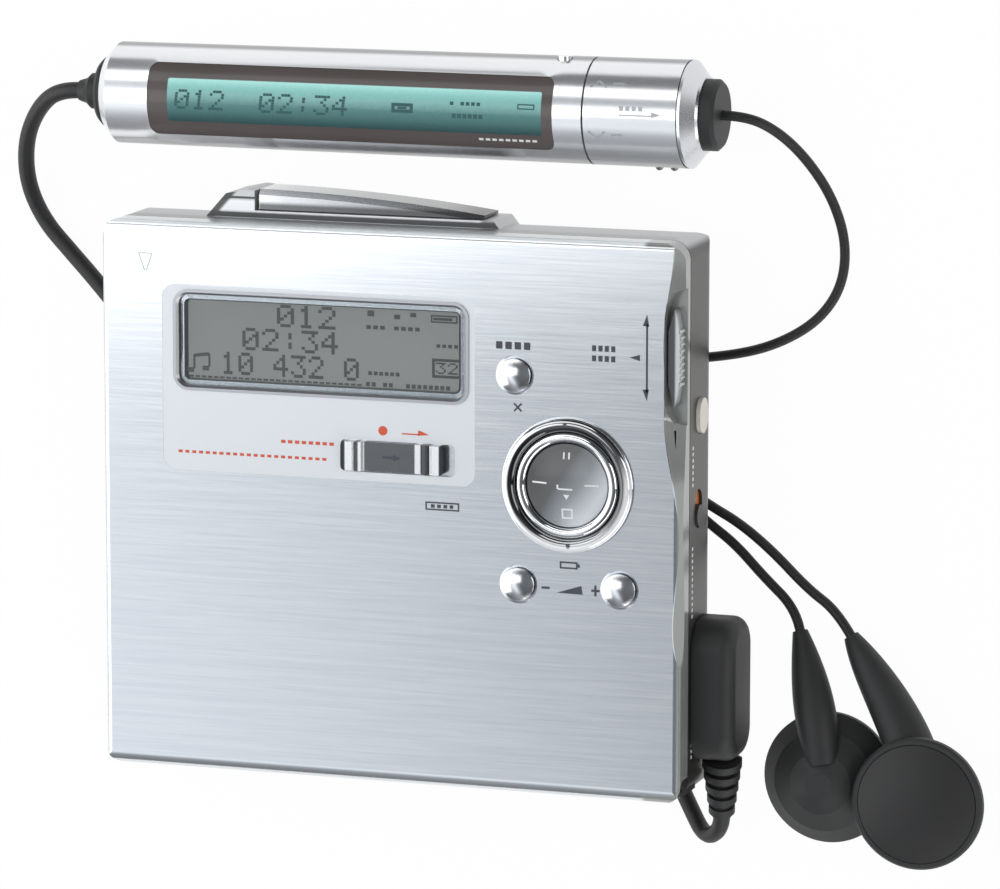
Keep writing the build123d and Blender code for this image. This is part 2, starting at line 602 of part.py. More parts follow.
def control_pad():
    """The domed pad inside the ring, with its flange under the ring's hub."""
    z = T - SKIN - 0.4 - SEAT
    r, lip = PAD_R, PAD_R + 0.8
    face = make_face(
        Plane.XZ * (Polyline((0, z - FLANGE_T), (lip, z - FLANGE_T), (lip, z), (r, z), (r, T + 0.3))
                    + dome(r, T + 0.3, 0.65)
                    + Line((0, T + 0.95), (0, z - FLANGE_T))))
    return Pos(RING_X, RING_Y, 0) * revolve(face, Axis.Z)


def rec_slider():
    """The record slider: two raised bright ends, a sunk grip, and a stem to its clip."""
    length, depth = REC_W - REC_TRAVEL - 0.5, REC_H - 0.4
    x = REC_X - REC_W / 2 + 0.2 + length / 2
    z0 = T - PANEL_LEDGE + SEAT
    body = slab(x, REC_Y, length, depth, 0.6, z0, T + 0.7)
    body -= slab(x, REC_Y, length - 5.6, depth + 2, 0.2, T + 0.25, T + 2)
    for side in (-1, 1):
        body -= rod_y(x + side * (length / 2 - 1.9), T + 0.85, 0.35, REC_Y - H, REC_Y + H)
    body += block(x - 1.5, x + 1.5, REC_Y - 0.8, REC_Y + 0.8, T - SKIN - 0.6, z0 + 0.1)
    return body + block(x - 2.5, x + 2.5, REC_Y - 1.5, REC_Y + 1.5, T - SKIN - 0.6, T - SKIN - SEAT)


def jog_lever():
    """The curved jog lever with its ribbed outer face and a stem to its clip."""
    mid, half = (JOG_Y0 + JOG_Y1) / 2, JOG_LEN / 2
    x0 = W / 2 - JOG_DEPTH + 0.35
    outline = Polyline((x0 + 0.8, mid - half), (x0, mid - half * 0.55), (x0, mid + half * 0.55), (x0 + 0.8, mid + half),
                       (x0 + 1.1, mid + half * 0.86), (x0 + 1.5, mid + half * 0.4), (x0 + 1.5, mid - half * 0.4),
                       (x0 + 1.1, mid - half * 0.86), close=True)
    z0 = JOG_FLOOR + SEAT
    body = Pos(0, 0, z0) * extrude(make_face(outline), 2.0)
    for i in range(-4, 5):
        body += rod_z(x0 + 1.45, mid + i * 0.85, 0.25, z0 + 0.2, z0 + 1.8)
    jog_x0 = W / 2 - JOG_DEPTH - 1.0
    body += block(jog_x0 - 0.6, x0 + 0.2, mid - 1.2, mid + 1.2, 15.0, 15.6)
    return body + block(jog_x0 - 0.6, jog_x0 - SEAT, mid - 2.6, mid + 2.6, 14.6, 15.8)


# ======================================================= controls on the rear shell
def side_button():
    """The oblong button in the side wall, with its flange inside."""
    body = slot_x(SIDE_Y, SIDE_Z, SIDE_L, SIDE_H, IN_X - SEAT - 0.1, W / 2 + SIDE_PROUD)
    return body + slot_x(SIDE_Y, SIDE_Z, SIDE_L + 1.2, SIDE_H + 1.2, IN_X - SEAT - 0.5, IN_X - SEAT)


HOLD_KNOB_R = (HOLD_H - 1.2) / 2 - 0.15
HOLD_KNOB_Y = HOLD_Y - HOLD_L / 2 + HOLD_KNOB_R + 0.2


def hold_slider():
    """The small sliding lock knob, its stem through the wall and its clip."""
    y = HOLD_KNOB_Y
    body = rod_x(y, HOLD_Z, HOLD_KNOB_R, W / 2 - HOLD_DEPTH + SEAT, W / 2 + 0.3)
    body += block(IN_X - 0.5, W / 2, y - 0.6, y + 0.6, HOLD_Z - 0.4, HOLD_Z + 0.4)
    return body + block(IN_X - 0.6, IN_X - SEAT, y - 1.5, y + 1.5, HOLD_Z - 1.2, HOLD_Z + 1.2)


def opener():
    """The long lens-shaped opening slider, its stem, and the latch plate inside."""
    y0, mid_x = SLIDE_FACE_Y + SEAT, (OPEN_X0 + OPEN_X1) / 2
    top = ThreePointArc((OPEN_X0, H / 2 + 3.7), (mid_x - 4, H / 2 + 3.3), (OPEN_X1, H / 2 + 1.5))
    base = Polyline((OPEN_X1, H / 2 + 1.5), (OPEN_X1, y0), (OPEN_X0, y0), (OPEN_X0, H / 2 + 3.7))
    body = Pos(0, 0, OPEN_Z0) * extrude(make_face(top + base), OPEN_Z1 - OPEN_Z0)
    body = chamfer(body.edges().group_by(Axis.Z)[-1].filter_by(GeomType.CIRCLE), 0.7)
    stem_z = (OPEN_Z0 + OPEN_Z1) / 2
    x0 = OPEN_X0 + 4.0 + SEAT
    body += block(x0, x0 + 9.8, IN_Y - 0.3, y0 + 0.1, stem_z - 1.0, stem_z + 1.0)
    plate = block(x0 - 3.0, x0 + 13.0, IN_Y - 0.7, IN_Y - SEAT, stem_z - 1.0, REAR_T - 0.4)
    plate -= block(x0 + 1.0, x0 + 5.0, IN_Y - 1, IN_Y, stem_z + 3.4, REAR_T - 1.6)
    return body + plate


# ======================================================= stick remote
def remote_radius(x):
    """The remote's body widens a little towards its knob."""
    return REM_R0 + (REM_R1 - REM_R0) * (x - REM_X0) / (REM_KNOB_END - REM_X0)


def remote_form(inset, x0, x1, round_end=0.0):
    """A length of the remote's tapered body about its own axis, pulled in by inset."""
    r0, r1 = remote_radius(x0) - inset, remote_radius(x1) - inset
    start = [(x0, r0 - round_end), (x0 + round_end, r0)] if round_end else [(x0, r0)]
    pts = [(x0, 0), *start, (x1, r1), (x1, 0)]
    face = make_face(Plane.XZ * Polyline(*pts, close=True))
    return Pos(0, REM_Y, REM_Z) * revolve(face, Axis.X)


def remote_half(upper):
    """One half of the remote's tubular body, with its end walls."""
    body = remote_form(0, REM_X0, REM_SEAM, 1.3)
    body -= remote_form(REM_WALL, REM_X0 + REM_WALL, REM_SEAM - REM_WALL)
    body -= rod_x(REM_Y, REM_Z, REM_JACK_R, REM_SEAM - 2, REM_SEAM + 1)
    z0, z1 = (REM_Z, REM_Z + 20) if upper else (REM_Z - 20, REM_Z)
    return body & block(-W, W, REM_Y - 20, REM_Y + 20, z0, z1)


def remote_window_zone(gap):
    """The opening for the remote's display window, seen from above."""
    w = REM_WIN_W - 2 * gap
    mid = (REM_WIN_X0 + REM_WIN_X1) / 2
    return slab(mid, REM_Y, REM_WIN_X1 - REM_WIN_X0 - 2 * gap, w, 1.1, REM_Z + 2, REM_Z + 20)


def remote_front_shell():
    """The upper half shell with the window opening and the side button's hole."""
    hole = rod_y(REM_BUTTON_X, REM_Z + 1.6, 0.9 + SEAT, REM_Y + 3, REM_Y + 10)
    return remote_half(True) - remote_window_zone(0) - hole


REM_BUTTON_X = 21.2


def remote_back_shell():
    """The lower half shell with the clip's two lugs."""
    body = remote_half(False)
    for side in (-1, 1):
        y0, y1 = sorted((REM_Y + side * 2.2, REM_Y + side * 3.2))
        body += block(-0.8, 0.8, y0, y1, CLIP_PIN_Z - 0.5, REM_Z - REM_R0 + 1.2)
    return body - rod_y(0, CLIP_PIN_Z, CLIP_PIN_R, REM_Y - 4, REM_Y + 4)


def remote_window():
    """The curved smoked window."""
    skin = remote_form(0.1, REM_X0, REM_SEAM) - remote_form(REM_WALL, REM_X0 + 1, REM_SEAM - 1)
    return skin & remote_window_zone(0)


def remote_display():
    """The remote's display module on its narrow board."""
    z0 = REM_Z + 0.3
    body = block(REM_X0 + 2.0, REM_SEAM - 6.2, REM_Y - 5.2, REM_Y + 5.2, REM_Z - 0.5, z0)
    body += block(REM_LCD_X0 - 0.8, REM_LCD_X1 - 2.2, REM_Y - 3.2, REM_Y + 3.2, z0, z0 + 3.3)
    return body + block(REM_LCD_X0, REM_LCD_X1, REM_Y - REM_LCD_W / 2, REM_Y + REM_LCD_W / 2, z0 + 3.2, REM_Z + 4.7)


def remote_knob():
    """The turning knob: a sleeve on the socket's barrel, with two grip nubs."""
    x0 = REM_SEAM + 0.25
    body = remote_form(0, x0, REM_KNOB_END)
    for x in (33.4, 35.4):
        body += Pos(x, REM_Y - remote_radius(x) + 0.1, REM_Z) * Sphere(0.55)
    return body - rod_x(REM_Y, REM_Z, REM_JACK_R + RUN, x0 - 1, REM_KNOB_END + 1)


def remote_ring():
    """The bright chamfered ring at the remote's end."""
    x0, x1 = REM_KNOB_END + SEAT, REM_KNOB_END + 2.3
    face = make_face(Plane.XZ * Polyline((x0, REM_JACK_R), (x0, REM_R1 - 0.1), (x0 + 0.4, REM_R1), (x1 - 0.3, REM_CAP_R + 0.5),
                                         (x1, REM_CAP_R + 0.3), (x1, REM_JACK_R), close=True))
    return Pos(0, REM_Y, REM_Z) * revolve(face, Axis.X)


def remote_socket():
    """The earphone socket's barrel, which also carries the knob and the end ring."""
    x0, x1 = REM_SEAM - 6.0, REM_KNOB_END + 2.3
    body = rod_x(REM_Y, REM_Z, REM_JACK_R, x0, x1)
    return body - rod_x(REM_Y, REM_Z, JACK_R, x0 + 1.0, x1 + 1)


def remote_button():
    """The small button on the remote's side, with its flange inside."""
    y_in = REM_Y + 4.6
    body = rod_y(REM_BUTTON_X, REM_Z + 1.6, 0.9, y_in, REM_Y + REM_R1 + 0.1)
    return body + rod_y(REM_BUTTON_X, REM_Z + 1.6, 1.3, y_in - 0.4, y_in + 0.1)


def remote_clip():
    """The clothing clip: a long plate, its hinge barrel and its jaw."""
    body = slab((CLIP_X0 + CLIP_X1) / 2, REM_Y, CLIP_X1 - CLIP_X0, CLIP_W, 2.0, 0, CLIP_T)
    body += rod_y(0, CLIP_PIN_Z, CLIP_PIN_R + 0.5, REM_Y - 2.1, REM_Y + 2.1)
    body += block(-0.9, 0.9, REM_Y - 2.1, REM_Y + 2.1, CLIP_T - 0.1, CLIP_PIN_Z)
    body += block(CLIP_X0 + 0.6, CLIP_X0 + 2.4, REM_Y - 1.4, REM_Y + 1.4, CLIP_T - 0.1, REM_Z - REM_R1 - 0.05)
    return body - rod_y(0, CLIP_PIN_Z, CLIP_PIN_R + RUN, REM_Y - 4, REM_Y + 4)


def clip_pin():
    """The pin through the lugs and the clip."""
    return rod_y(0, CLIP_PIN_Z, CLIP_PIN_R, REM_Y - 3.2, REM_Y + 3.2)


# ======================================================= earbuds
def bud_outline(side):
    """The earbud's body outline, radius against distance behind the rim's front."""
    t = BUD_RIM_T
    return [(0, 0.4), (BUD_R - 1.0, 0.4), (BUD_R - 0.8, 0), (BUD_R - 0.3, 0), (BUD_R, 0.4), (BUD_R, t - 0.4),
            (BUD_R - 0.35, t), (BUD_R * 0.77, t + BUD_DOME_T * 0.4), (BUD_R * 0.47, t + BUD_DOME_T * 0.8),
            (BUD_R * 0.2, t + BUD_DOME_T), (0, t + BUD_DOME_T)]


def bud_place(at, rim_z, face_up):
    """Puts an earbud built about Z, its face towards -Z, where it lies."""
    turn = Rot(180, 0, 0) if face_up else Rot(0, 0, 0)
    return Pos(at[0], at[1], rim_z) * turn


def stem(stations):
    """A tapering stem lofted through round sections along its line."""
    centres = [Vector(*p[:3]) for p in stations]
    faces = []
    for i, p in enumerate(stations):
        along = centres[min(i + 1, len(centres) - 1)] - centres[max(i - 1, 0)]
        faces.append(Plane(origin=centres[i], z_dir=along) * Circle(p[3]))
    return loft(faces)


STEM_L = [(50.45, -16.1, 1.6, 1.0), (52.0, -21.2, 3.1, 2.2), (53.7, -27.0, 5.0, 2.7), (55.1, -32.6, 6.2, 1.9)]
STEM_R = [(57.28, -16.3, 1.6, 1.0), (60.4, -20.8, 2.5, 2.3), (63.8, -26.2, 3.05, 3.0), (66.6, -31.6, 4.0, 3.2),
          (68.0, -35.4, 4.9, 2.8)]


def earbud_housing(at, rim_z, face_up, stations):
    """The earbud's moulded back with its stem, hollow behind the face."""
    turn = bud_place(at, rim_z, face_up)
    body = turn * turned(bud_outline(0)) + stem(stations)
    return body - turn * rod_z(0, 0, BUD_R - 1.4, -1, 0.4 + DRIVER_T)


DRIVER_T = 1.6


def earbud_driver(at, rim_z, face_up):
    """The small speaker seated in the housing."""
    return bud_place(at, rim_z, face_up) * rod_z(0, 0, BUD_R - 1.4, 0.1, 0.4 + DRIVER_T)


def earbud_face(at, rim_z, face_up):
    """The domed face in front of the speaker."""
    r = BUD_R - 0.9
    face = make_face(Plane.XZ * (dome(r, 0, -BUD_FACE_T) + Polyline((0, -BUD_FACE_T), (0, 0), (r, 0))))
    return bud_place(at, rim_z, face_up) * revolve(face, Axis.Z)


# ======================================================= cords
def round_path(points):
    """Straight runs joined by arcs as large as their two runs allow; prints the radii."""
    pts = [Vector(*p) for p in points]
    radii = []
    for a, b, c in zip(pts, pts[1:], pts[2:]):
        turn = math.radians((b - a).get_angle(c - b))
        radii.append(0.45 * min((b - a).length, (c - b).length) / math.tan(turn / 2))
    return FilletPolyline(*pts, radius=radii), radii


def tube(name, points, diameter):
    """A cord's solid along its route."""
    path, radii = round_path(points)
    solid = sweep(Plane(origin=path @ 0, z_dir=path % 0) * Circle(diameter / 2), path=path)
    ideal = math.pi * diameter ** 2 / 4 * path.length
    print(f"{name}: length {path.length:.1f}, least radius {min(radii):.1f}, volume ratio {solid.volume / ideal:.4f}")
    return solid


def beyond(a, b, more):
    """The point that lies past b on the line from a."""
    along = (Vector(*b[:3]) - Vector(*a[:3])).normalized()
    return tuple(Vector(*b[:3]) + along * more)


LEAD_H, THIN_H = LEAD_D / 2, THIN_D / 2
BOOT_X = REM_X0 - 1.3 - 3.4
LEAD_COIL, LEAD_COIL_R = (-14.5, 10.5), 23.8
THIN_COIL, THIN_COIL_R = (19.5, -16.5), 16.95
LEAD_TO_REMOTE = [
    (BOOT_X, REM_Y, REM_Z), (BOOT_X - 3.1, REM_Y, REM_Z), (-53.2, 48.9, 7.4), (-56.2, 44.2, 4.7), (-57.0, 38.3, 2.5),
    (-55.2, 33.0, LEAD_H), (-51.3, 28.9, LEAD_H), (-47.2, 24.6, LEAD_H), (-41.0, 17.5, LEAD_H), (-36.0, 12.5, LEAD_H)]
PLUG_X0, PLUG_X1 = W / 2 + 0.12, W / 2 + 5.6
PLUG_Y0, PLUG_Y1 = -31.8, -13.2
PLUG_Z0, PLUG_Z1 = 2.2, 12.3
RELIEF_FROM, RELIEF_TIP = ((PLUG_X0 + PLUG_X1) / 2, PLUG_Y0, 9.6), (41.5, -40.2, 6.6)
LEAD_TO_PLUG = [
    (-6.8, -10.0, LEAD_H), (-3.6, -17.8, LEAD_H), (-1.6, -25.6, LEAD_H), (4.8, -31.4, LEAD_H), (13.2, -34.7, LEAD_H),
    (22.4, -35.0, LEAD_H), (29.0, -35.3, LEAD_H), (33.6, -36.6, LEAD_H), (35.4, -40.2, 1.3), (38.3, -44.3, 3.2),
    beyond(RELIEF_FROM, RELIEF_TIP, 2.2), RELIEF_TIP]
EAR_PLUG_X = REM_KNOB_END + 2.3 + 1.9
EAR_CORD = [
    (EAR_PLUG_X, REM_Y, REM_Z), (EAR_PLUG_X + 3.2, REM_Y, REM_Z), (48.2, 49.7, 6.9), (51.3, 46.1, 4.3), (54.2, 41.0, 2.1),
    (55.8, 35.1, THIN_H), (55.4, 29.3, THIN_H), (52.3, 24.6, THIN_H), (47.0, 21.3, THIN_H), (41.0, 19.5, THIN_H),
    (32.0, 18.4, THIN_H), (23.0, 15.8, THIN_H), (15.0, 10.2, THIN_H), (10.6, 2.6, THIN_H), (9.3, -4.9, THIN_H)]
SPLIT_AT, SPLIT_L, SPLIT_W, SPLIT_T = (26.4, 1.7), 6.4, 2.6, 1.9
EAR_CORD_END = [(15.2, -2.2, THIN_H), (18.6, SPLIT_AT[1], THIN_H), (SPLIT_AT[0] - SPLIT_L / 2, SPLIT_AT[1], THIN_H)]
BRANCH_X, BRANCH_DY = SPLIT_AT[0] + SPLIT_L / 2, 0.65
BRANCH_R = [
    (BRANCH_X, SPLIT_AT[1] + BRANCH_DY, THIN_H), (BRANCH_X + 3.6, SPLIT_AT[1] + BRANCH_DY, THIN_H), (38.0, -0.5, THIN_H),
    (42.0, -2.6, THIN_H), (46.4, -6.0, THIN_H), (51.2, -10.7, THIN_H), beyond(STEM_R[1], STEM_R[0], 3.2), STEM_R[0][:3]]
BRANCH_L = [
    (BRANCH_X, SPLIT_AT[1] - BRANCH_DY, THIN_H), (BRANCH_X + 3.4, SPLIT_AT[1] - BRANCH_DY, THIN_H), (37.6, -2.7, THIN_H),
    (41.4, -5.4, THIN_H), (45.2, -9.4, THIN_H), beyond(STEM_L[1], STEM_L[0], 3.0), STEM_L[0][:3]]


def lead_boot():
    """The dark end cap and stepped boot where the lead leaves the remote."""
    x1 = REM_X0 - 1.3
    cap = rod_x(REM_Y, REM_Z, REM_CAP_R, x1, REM_X0)
    cap = chamfer(cap.edges().group_by(Axis.X)[0], 0.5)
    face = make_face(Plane.XZ * Polyline((x1, 0), (x1, 2.35), (x1 - 1.6, 2.35), (x1 - 2.3, 1.7), (BOOT_X, 1.35),
                                         (BOOT_X, 0), close=True))
    return cap + Pos(0, REM_Y, REM_Z) * revolve(face, Axis.X)


def remote_plug():
    """The flat moulded plug beside the case, with its pin in the socket."""
    mid = Pos(0, (PLUG_Y0 + PLUG_Y1) / 2, (PLUG_Z0 + PLUG_Z1) / 2 + LIFT)
    face = Plane.YZ * RectangleRounded(PLUG_Y1 - PLUG_Y0, PLUG_Z1 - PLUG_Z0, 4.0)
    body = Pos(PLUG_X0, 0, 0) * mid * extrude(face, PLUG_X1 - PLUG_X0)
    body = fillet(body.edges().group_by(Axis.X)[-1], 1.8)
    return body + rod_x(JACK_Y, JACK_Z + LIFT, PLUG_PIN_R, W / 2 - 11.5, PLUG_X0 + 0.5)


def plug_relief():
    """The ribbed, tapering relief below the plug."""
    a, b = Vector(*RELIEF_FROM), Vector(*RELIEF_TIP)
    along = (b - a).normalized()
    length, ribs = (b - a).length, 5
    body = Plane(origin=a, z_dir=along) * Pos(0, 0, length / 2) * Cone(1.9, 1.25, length)
    pitch = length / ribs
    for i in range(ribs):
        r = 2.6 - 0.22 * i
        body += Plane(origin=a + along * (i * pitch + 0.35 * pitch), z_dir=along) * Cylinder(r, pitch * 0.55)
    return body - block(0, W, PLUG_Y0, 0, 0, 30)


def earphone_plug():
    """The earphones' short plug in the remote's end."""
    x0 = REM_KNOB_END + 2.3
    body = rod_x(REM_Y, REM_Z, REM_CAP_R, x0, EAR_PLUG_X)
    body = chamfer(body.edges().group_by(Axis.X)[-1], 0.5)
    return body + rod_x(REM_Y, REM_Z, PLUG_PIN_R, REM_SEAM - 3.5, x0 + 0.5)


def splitter():
    """The slider that gathers the two earbud cords."""
    return slab(*SPLIT_AT, SPLIT_L, SPLIT_W, 0.8, 0, SPLIT_T)


def coil(at, r, thick):
    """A put-away coil as one closed solid of its outer shape."""
    return rod_z(*at, r, 0, thick)


# ======================================================= the set
def player_pieces():
    """Every piece of the player, from its back face up."""
    builders = (rear_shell, battery_door, battery_cell, battery_contacts, main_board, chassis_plate, guide_rods,
                lead_screw, sled_motor, optical_pickup, spindle_motor, turntable, case_screws, magnetic_head, lid_panel, display_plate, display_bezel, display_window,
                lcd_module, lid_frame, button_board, control_ring, control_pad, rec_slider, jog_lever, side_button,
                hold_slider)
    pieces = {make.__name__: make() for make in builders}
    pieces["open_slider"] = opener()
    pieces["jacks"] = [jack(-1), jack(1)]
    pieces["disc_holder"] = disc_holder() + holder_springs()
    pieces["hinge_pins"] = hinge_pins()
    for name, at in (("group_button", GROUP_AT), ("volume_down_button", VOL_DOWN_AT), ("volume_up_button", VOL_UP_AT)):
        pieces[name] = dome_button(at)
    return {name: lifted(piece) for name, piece in pieces.items()}


def lifted(piece):
    """Moves a piece, or each of a group, up from the table."""
    if isinstance(piece, list):
        return [Pos(0, 0, LIFT) * p for p in piece]
    return Pos(0, 0, LIFT) * piece


def remote_pieces():
    """The stick remote."""
    builders = (remote_front_shell, remote_back_shell, remote_window, remote_display, remote_knob, remote_ring,
                remote_socket, remote_button, remote_clip)
    return {make.__name__: make() for make in builders}


def earbud_pieces():
    """The two earbuds: the left one lies on its face, the right one on its stem, face up."""
    pieces = {"earbud_drivers": [], "earbud_faces": []}
    for side, at, z, up, line in (("left", BUD_L_AT, BUD_FACE_T, False, STEM_L), ("right", BUD_R_AT, BUD_R_RIM_Z, True, STEM_R)):
        pieces[f"earbud_housing_{side}"] = earbud_housing(at, z, up, line)
        pieces["earbud_drivers"].append(earbud_driver(at, z, up))
        pieces["earbud_faces"].append(earbud_face(at, z, up))
    return pieces


def cord_pieces():
    """The free cords and what is on them; a cord that enters a coil ends at the coil's rim."""
    lead_coil, thin_coil = coil(LEAD_COIL, LEAD_COIL_R, LEAD_D), coil(THIN_COIL, THIN_COIL_R, THIN_D)
    return {
        "lead_boot": lead_boot(), "remote_plug": remote_plug() + plug_relief(),
        "lead_to_remote": tube("lead_to_remote", LEAD_TO_REMOTE, LEAD_D) - lead_coil,
        "lead_to_plug": tube("lead_to_plug", LEAD_TO_PLUG, LEAD_D) - lead_coil,
        "lead_coil": lead_coil, "earphone_plug": earphone_plug(), "cord_splitter": splitter(),
        "earphone_cord": tube("earphone_cord", EAR_CORD, THIN_D) - thin_coil,
        "earphone_cord_end": tube("earphone_cord_end", EAR_CORD_END, THIN_D) - thin_coil,
        "earphone_coil": thin_coil,
        "branch_left": tube("branch_left", BRANCH_L, THIN_D), "branch_right": tube("branch_right", BRANCH_R, THIN_D)}


def as_list(piece):
    """A piece as a list of its solids."""
    return list(piece) if isinstance(piece, list) else [piece]


def set_centre(own):
    """The middle of the set's footprint, measured without the free cords."""
    box = Compound([s for piece in own.values() for s in as_list(piece)]).bounding_box()
    return (box.min.X + box.max.X) / 2, (box.min.Y + box.max.Y) / 2


def build():
    """Every node of the set, moved so that the middle of its footprint is the origin."""
    own = player_pieces() | remote_pieces() | earbud_pieces()
    own["hinge_pins"].append(clip_pin())
    x, y = set_centre(own)
    print(f"set centre in the player's frame: {x:.4f}, {y:.4f}")
    nodes = own | cord_pieces()
    return {name: [Pos(-x, -y, 0) * s for s in as_list(piece)] for name, piece in nodes.items()}


def main():
    """Writes one STEP file for each node."""
    os.makedirs("parts", exist_ok=True)
    for name, solids in build().items():
        shape = solids[0] if len(solids) == 1 else Compound(solids)
        export_step(shape, f"parts/{name}.step")


if __name__ == "__main__":
    main()
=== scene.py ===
"""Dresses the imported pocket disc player, its stick remote and its earphones.

Every size is in millimetres in the player's own frame: X to the right of the front panel,
Y towards the opening edge, Z up from what the set lies on.  Place.metres() turns such
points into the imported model's frame.
"""
import logging
import math
from dataclasses import dataclass
from enum import Enum
from typing import Any, Callable, Iterable, Optional, Union

import bmesh
import bpy
import numpy as np
from mathutils import Matrix, Vector

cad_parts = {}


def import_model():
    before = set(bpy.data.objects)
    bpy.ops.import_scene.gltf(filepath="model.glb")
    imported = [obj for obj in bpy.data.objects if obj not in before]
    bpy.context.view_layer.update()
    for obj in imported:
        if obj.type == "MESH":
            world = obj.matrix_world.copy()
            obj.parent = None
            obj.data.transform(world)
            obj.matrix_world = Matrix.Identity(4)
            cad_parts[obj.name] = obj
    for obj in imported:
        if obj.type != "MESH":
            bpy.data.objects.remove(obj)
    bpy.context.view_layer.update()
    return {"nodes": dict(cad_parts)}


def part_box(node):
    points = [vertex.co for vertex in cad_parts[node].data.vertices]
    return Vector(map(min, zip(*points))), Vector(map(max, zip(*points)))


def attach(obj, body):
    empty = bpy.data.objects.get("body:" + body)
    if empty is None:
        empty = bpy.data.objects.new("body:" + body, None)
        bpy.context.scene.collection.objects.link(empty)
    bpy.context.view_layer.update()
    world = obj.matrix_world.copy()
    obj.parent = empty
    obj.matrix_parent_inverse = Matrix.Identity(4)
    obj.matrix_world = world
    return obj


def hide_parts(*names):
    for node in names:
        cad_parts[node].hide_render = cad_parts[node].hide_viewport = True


LOG = logging.getLogger("disc_player")
MM = 0.001
MERGE = 1e-7  # distance under which points of a mark are one, in metres
SHARP = 30.0  # a mark's edges turned by more than this many degrees stay sharp
Number = Union[int, float]
Pair = tuple[float, float]
Triple = tuple[float, float, float]
Colour = Triple


# ---- frame
@dataclass
class Place:
    """Where the player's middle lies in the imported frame, in metres."""

    x: float = 0.0
    y: float = 0.0

    def measure(self) -> None:
        """Reads the player's middle from its lid's box."""
        low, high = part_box("lid_panel")
        self.x, self.y = (low.x + high.x) / 2, (low.y + high.y) / 2

    def metres(self, points: Any) -> np.ndarray:
        """Turns points in the player's frame, x, y and z along the last axis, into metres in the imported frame."""
        return np.asarray(points, float) * MM + np.array((self.x, self.y, 0.0))


PLACE = Place()


# ---- shader maths
def operator(kind: str, reflected: bool = False) -> Callable[["Wire", Any], "Wire"]:
    """The method of a Wire that adds one kind of Math node; reflected puts the wire second, as in 1 - wire."""

    def method(self: "Wire", other: Any) -> "Wire":
        """Adds the node for this wire and another value."""
        return self.math(kind, *((other, self) if reflected else (self, other)))

    return method


@dataclass(eq=False)
class Wire:
    """An output socket of a tree; arithmetic on it adds Math nodes."""

    tree: "Tree"
    socket: bpy.types.NodeSocket

    def math(self, operation: str, *values: Union["Wire", Number]) -> "Wire":
        """Adds one Math node for an operation on wires or plain numbers."""
        return self.tree.node("Math", {"operation": operation}, *values)

    __add__ = __radd__ = operator("ADD")
    __mul__ = __rmul__ = operator("MULTIPLY")
    __sub__, __rsub__ = operator("SUBTRACT"), operator("SUBTRACT", True)
    __truediv__, __pow__ = operator("DIVIDE"), operator("POWER")
    at_least, at_most = operator("MAXIMUM"), operator("MINIMUM")

    def __abs__(self) -> "Wire":
        """Absolute value."""
        return self.math("ABSOLUTE", self)

    def above(self, edge: Number, soft: Number) -> "Wire":
        """A smooth step from 0 to 1 as the value passes an edge.

        Args:
            edge: the middle of the step.
            soft: half of the step's width.

        Returns:
            The mask.
        """
        return self.tree.node("MapRange", {"interpolation_type": "SMOOTHSTEP"},
                              Value=self, From_Min=edge - soft, From_Max=edge + soft)

    def below(self, edge: Number, soft: Number) -> "Wire":
        """A smooth step from 1 to 0 as the value passes an edge."""
        return 1.0 - self.above(edge, soft)

    def ramp(self, *stops: tuple[float, Colour]) -> "Wire":
        """The colour at this value on a ramp with stops of position and colour."""
        return self.tree.node("ValToRGB", {"stops": stops}, Fac=self)

    def split(self) -> tuple["Wire", ...]:
        """A vector's x, y and z."""
        first = self.tree.node("SeparateXYZ", None, self)
        return tuple(Wire(self.tree, socket) for socket in first.socket.node.outputs)


class Tree:
    """A node tree in which every new node comes from one method."""

    def __init__(self, nodes: bpy.types.NodeTree) -> None:
        """Keeps the tree."""
        self.nodes = nodes

    def find(self, kind: str) -> bpy.types.Node:
        """The node of one type that the tree started with."""
        return next(n for n in self.nodes.nodes if n.type == kind)

    def plug(self, slot: bpy.types.NodeSocket, value: Any) -> None:
        """Links a wire to an input, or sets the input to a plain value.

        Args:
            slot: the input.
            value: a Wire, a number, a colour or a vector.
        """
        if isinstance(value, Wire):
            self.nodes.links.new(value.socket, slot)
        elif isinstance(value, (tuple, list)) and slot.type == "RGBA" and len(value) == 3:
            slot.default_value = (*value, 1.0)
        else:
            slot.default_value = value

    def node(self, kind: str, settings: Optional[dict[str, Any]] = None, *values: Any, out: str = "",
             **inputs: Any) -> Wire:
        """Adds a node.

        Args:
            kind: the node's type without its ShaderNode prefix.
            settings: attributes set before the inputs; "stops" fills a colour ramp.
            values: its first inputs in their order.
            out: the output that is returned, or none for the first.
            inputs: inputs by name, spaces written as underscores.

        Returns:
            The chosen output.
        """
        made = self.nodes.nodes.new("ShaderNode" + kind)
        for key, value in (settings or {}).items():
            if key == "stops":
                fill_ramp(made.color_ramp.elements, value)
            else:
                setattr(made, key, value)
        for slot, value in zip(made.inputs, values):
            self.plug(slot, value)
        for key, value in inputs.items():
            self.plug(next(s for s in made.inputs if s.name == key.replace("_", " ") and s.enabled), value)
        return Wire(self, made.outputs[out] if out else next(s for s in made.outputs if s.enabled))


def fill_ramp(elements: bpy.types.ColorRampElements, stops: tuple[tuple[float, Colour], ...]) -> None:
    """Fills a colour ramp, which starts with two stops, with pairs of position and colour."""
    while len(elements) < len(stops):
        elements.new(0.5)
    for element, (position, colour) in zip(elements, stops):
        element.position, element.color = position, (*colour, 1.0)


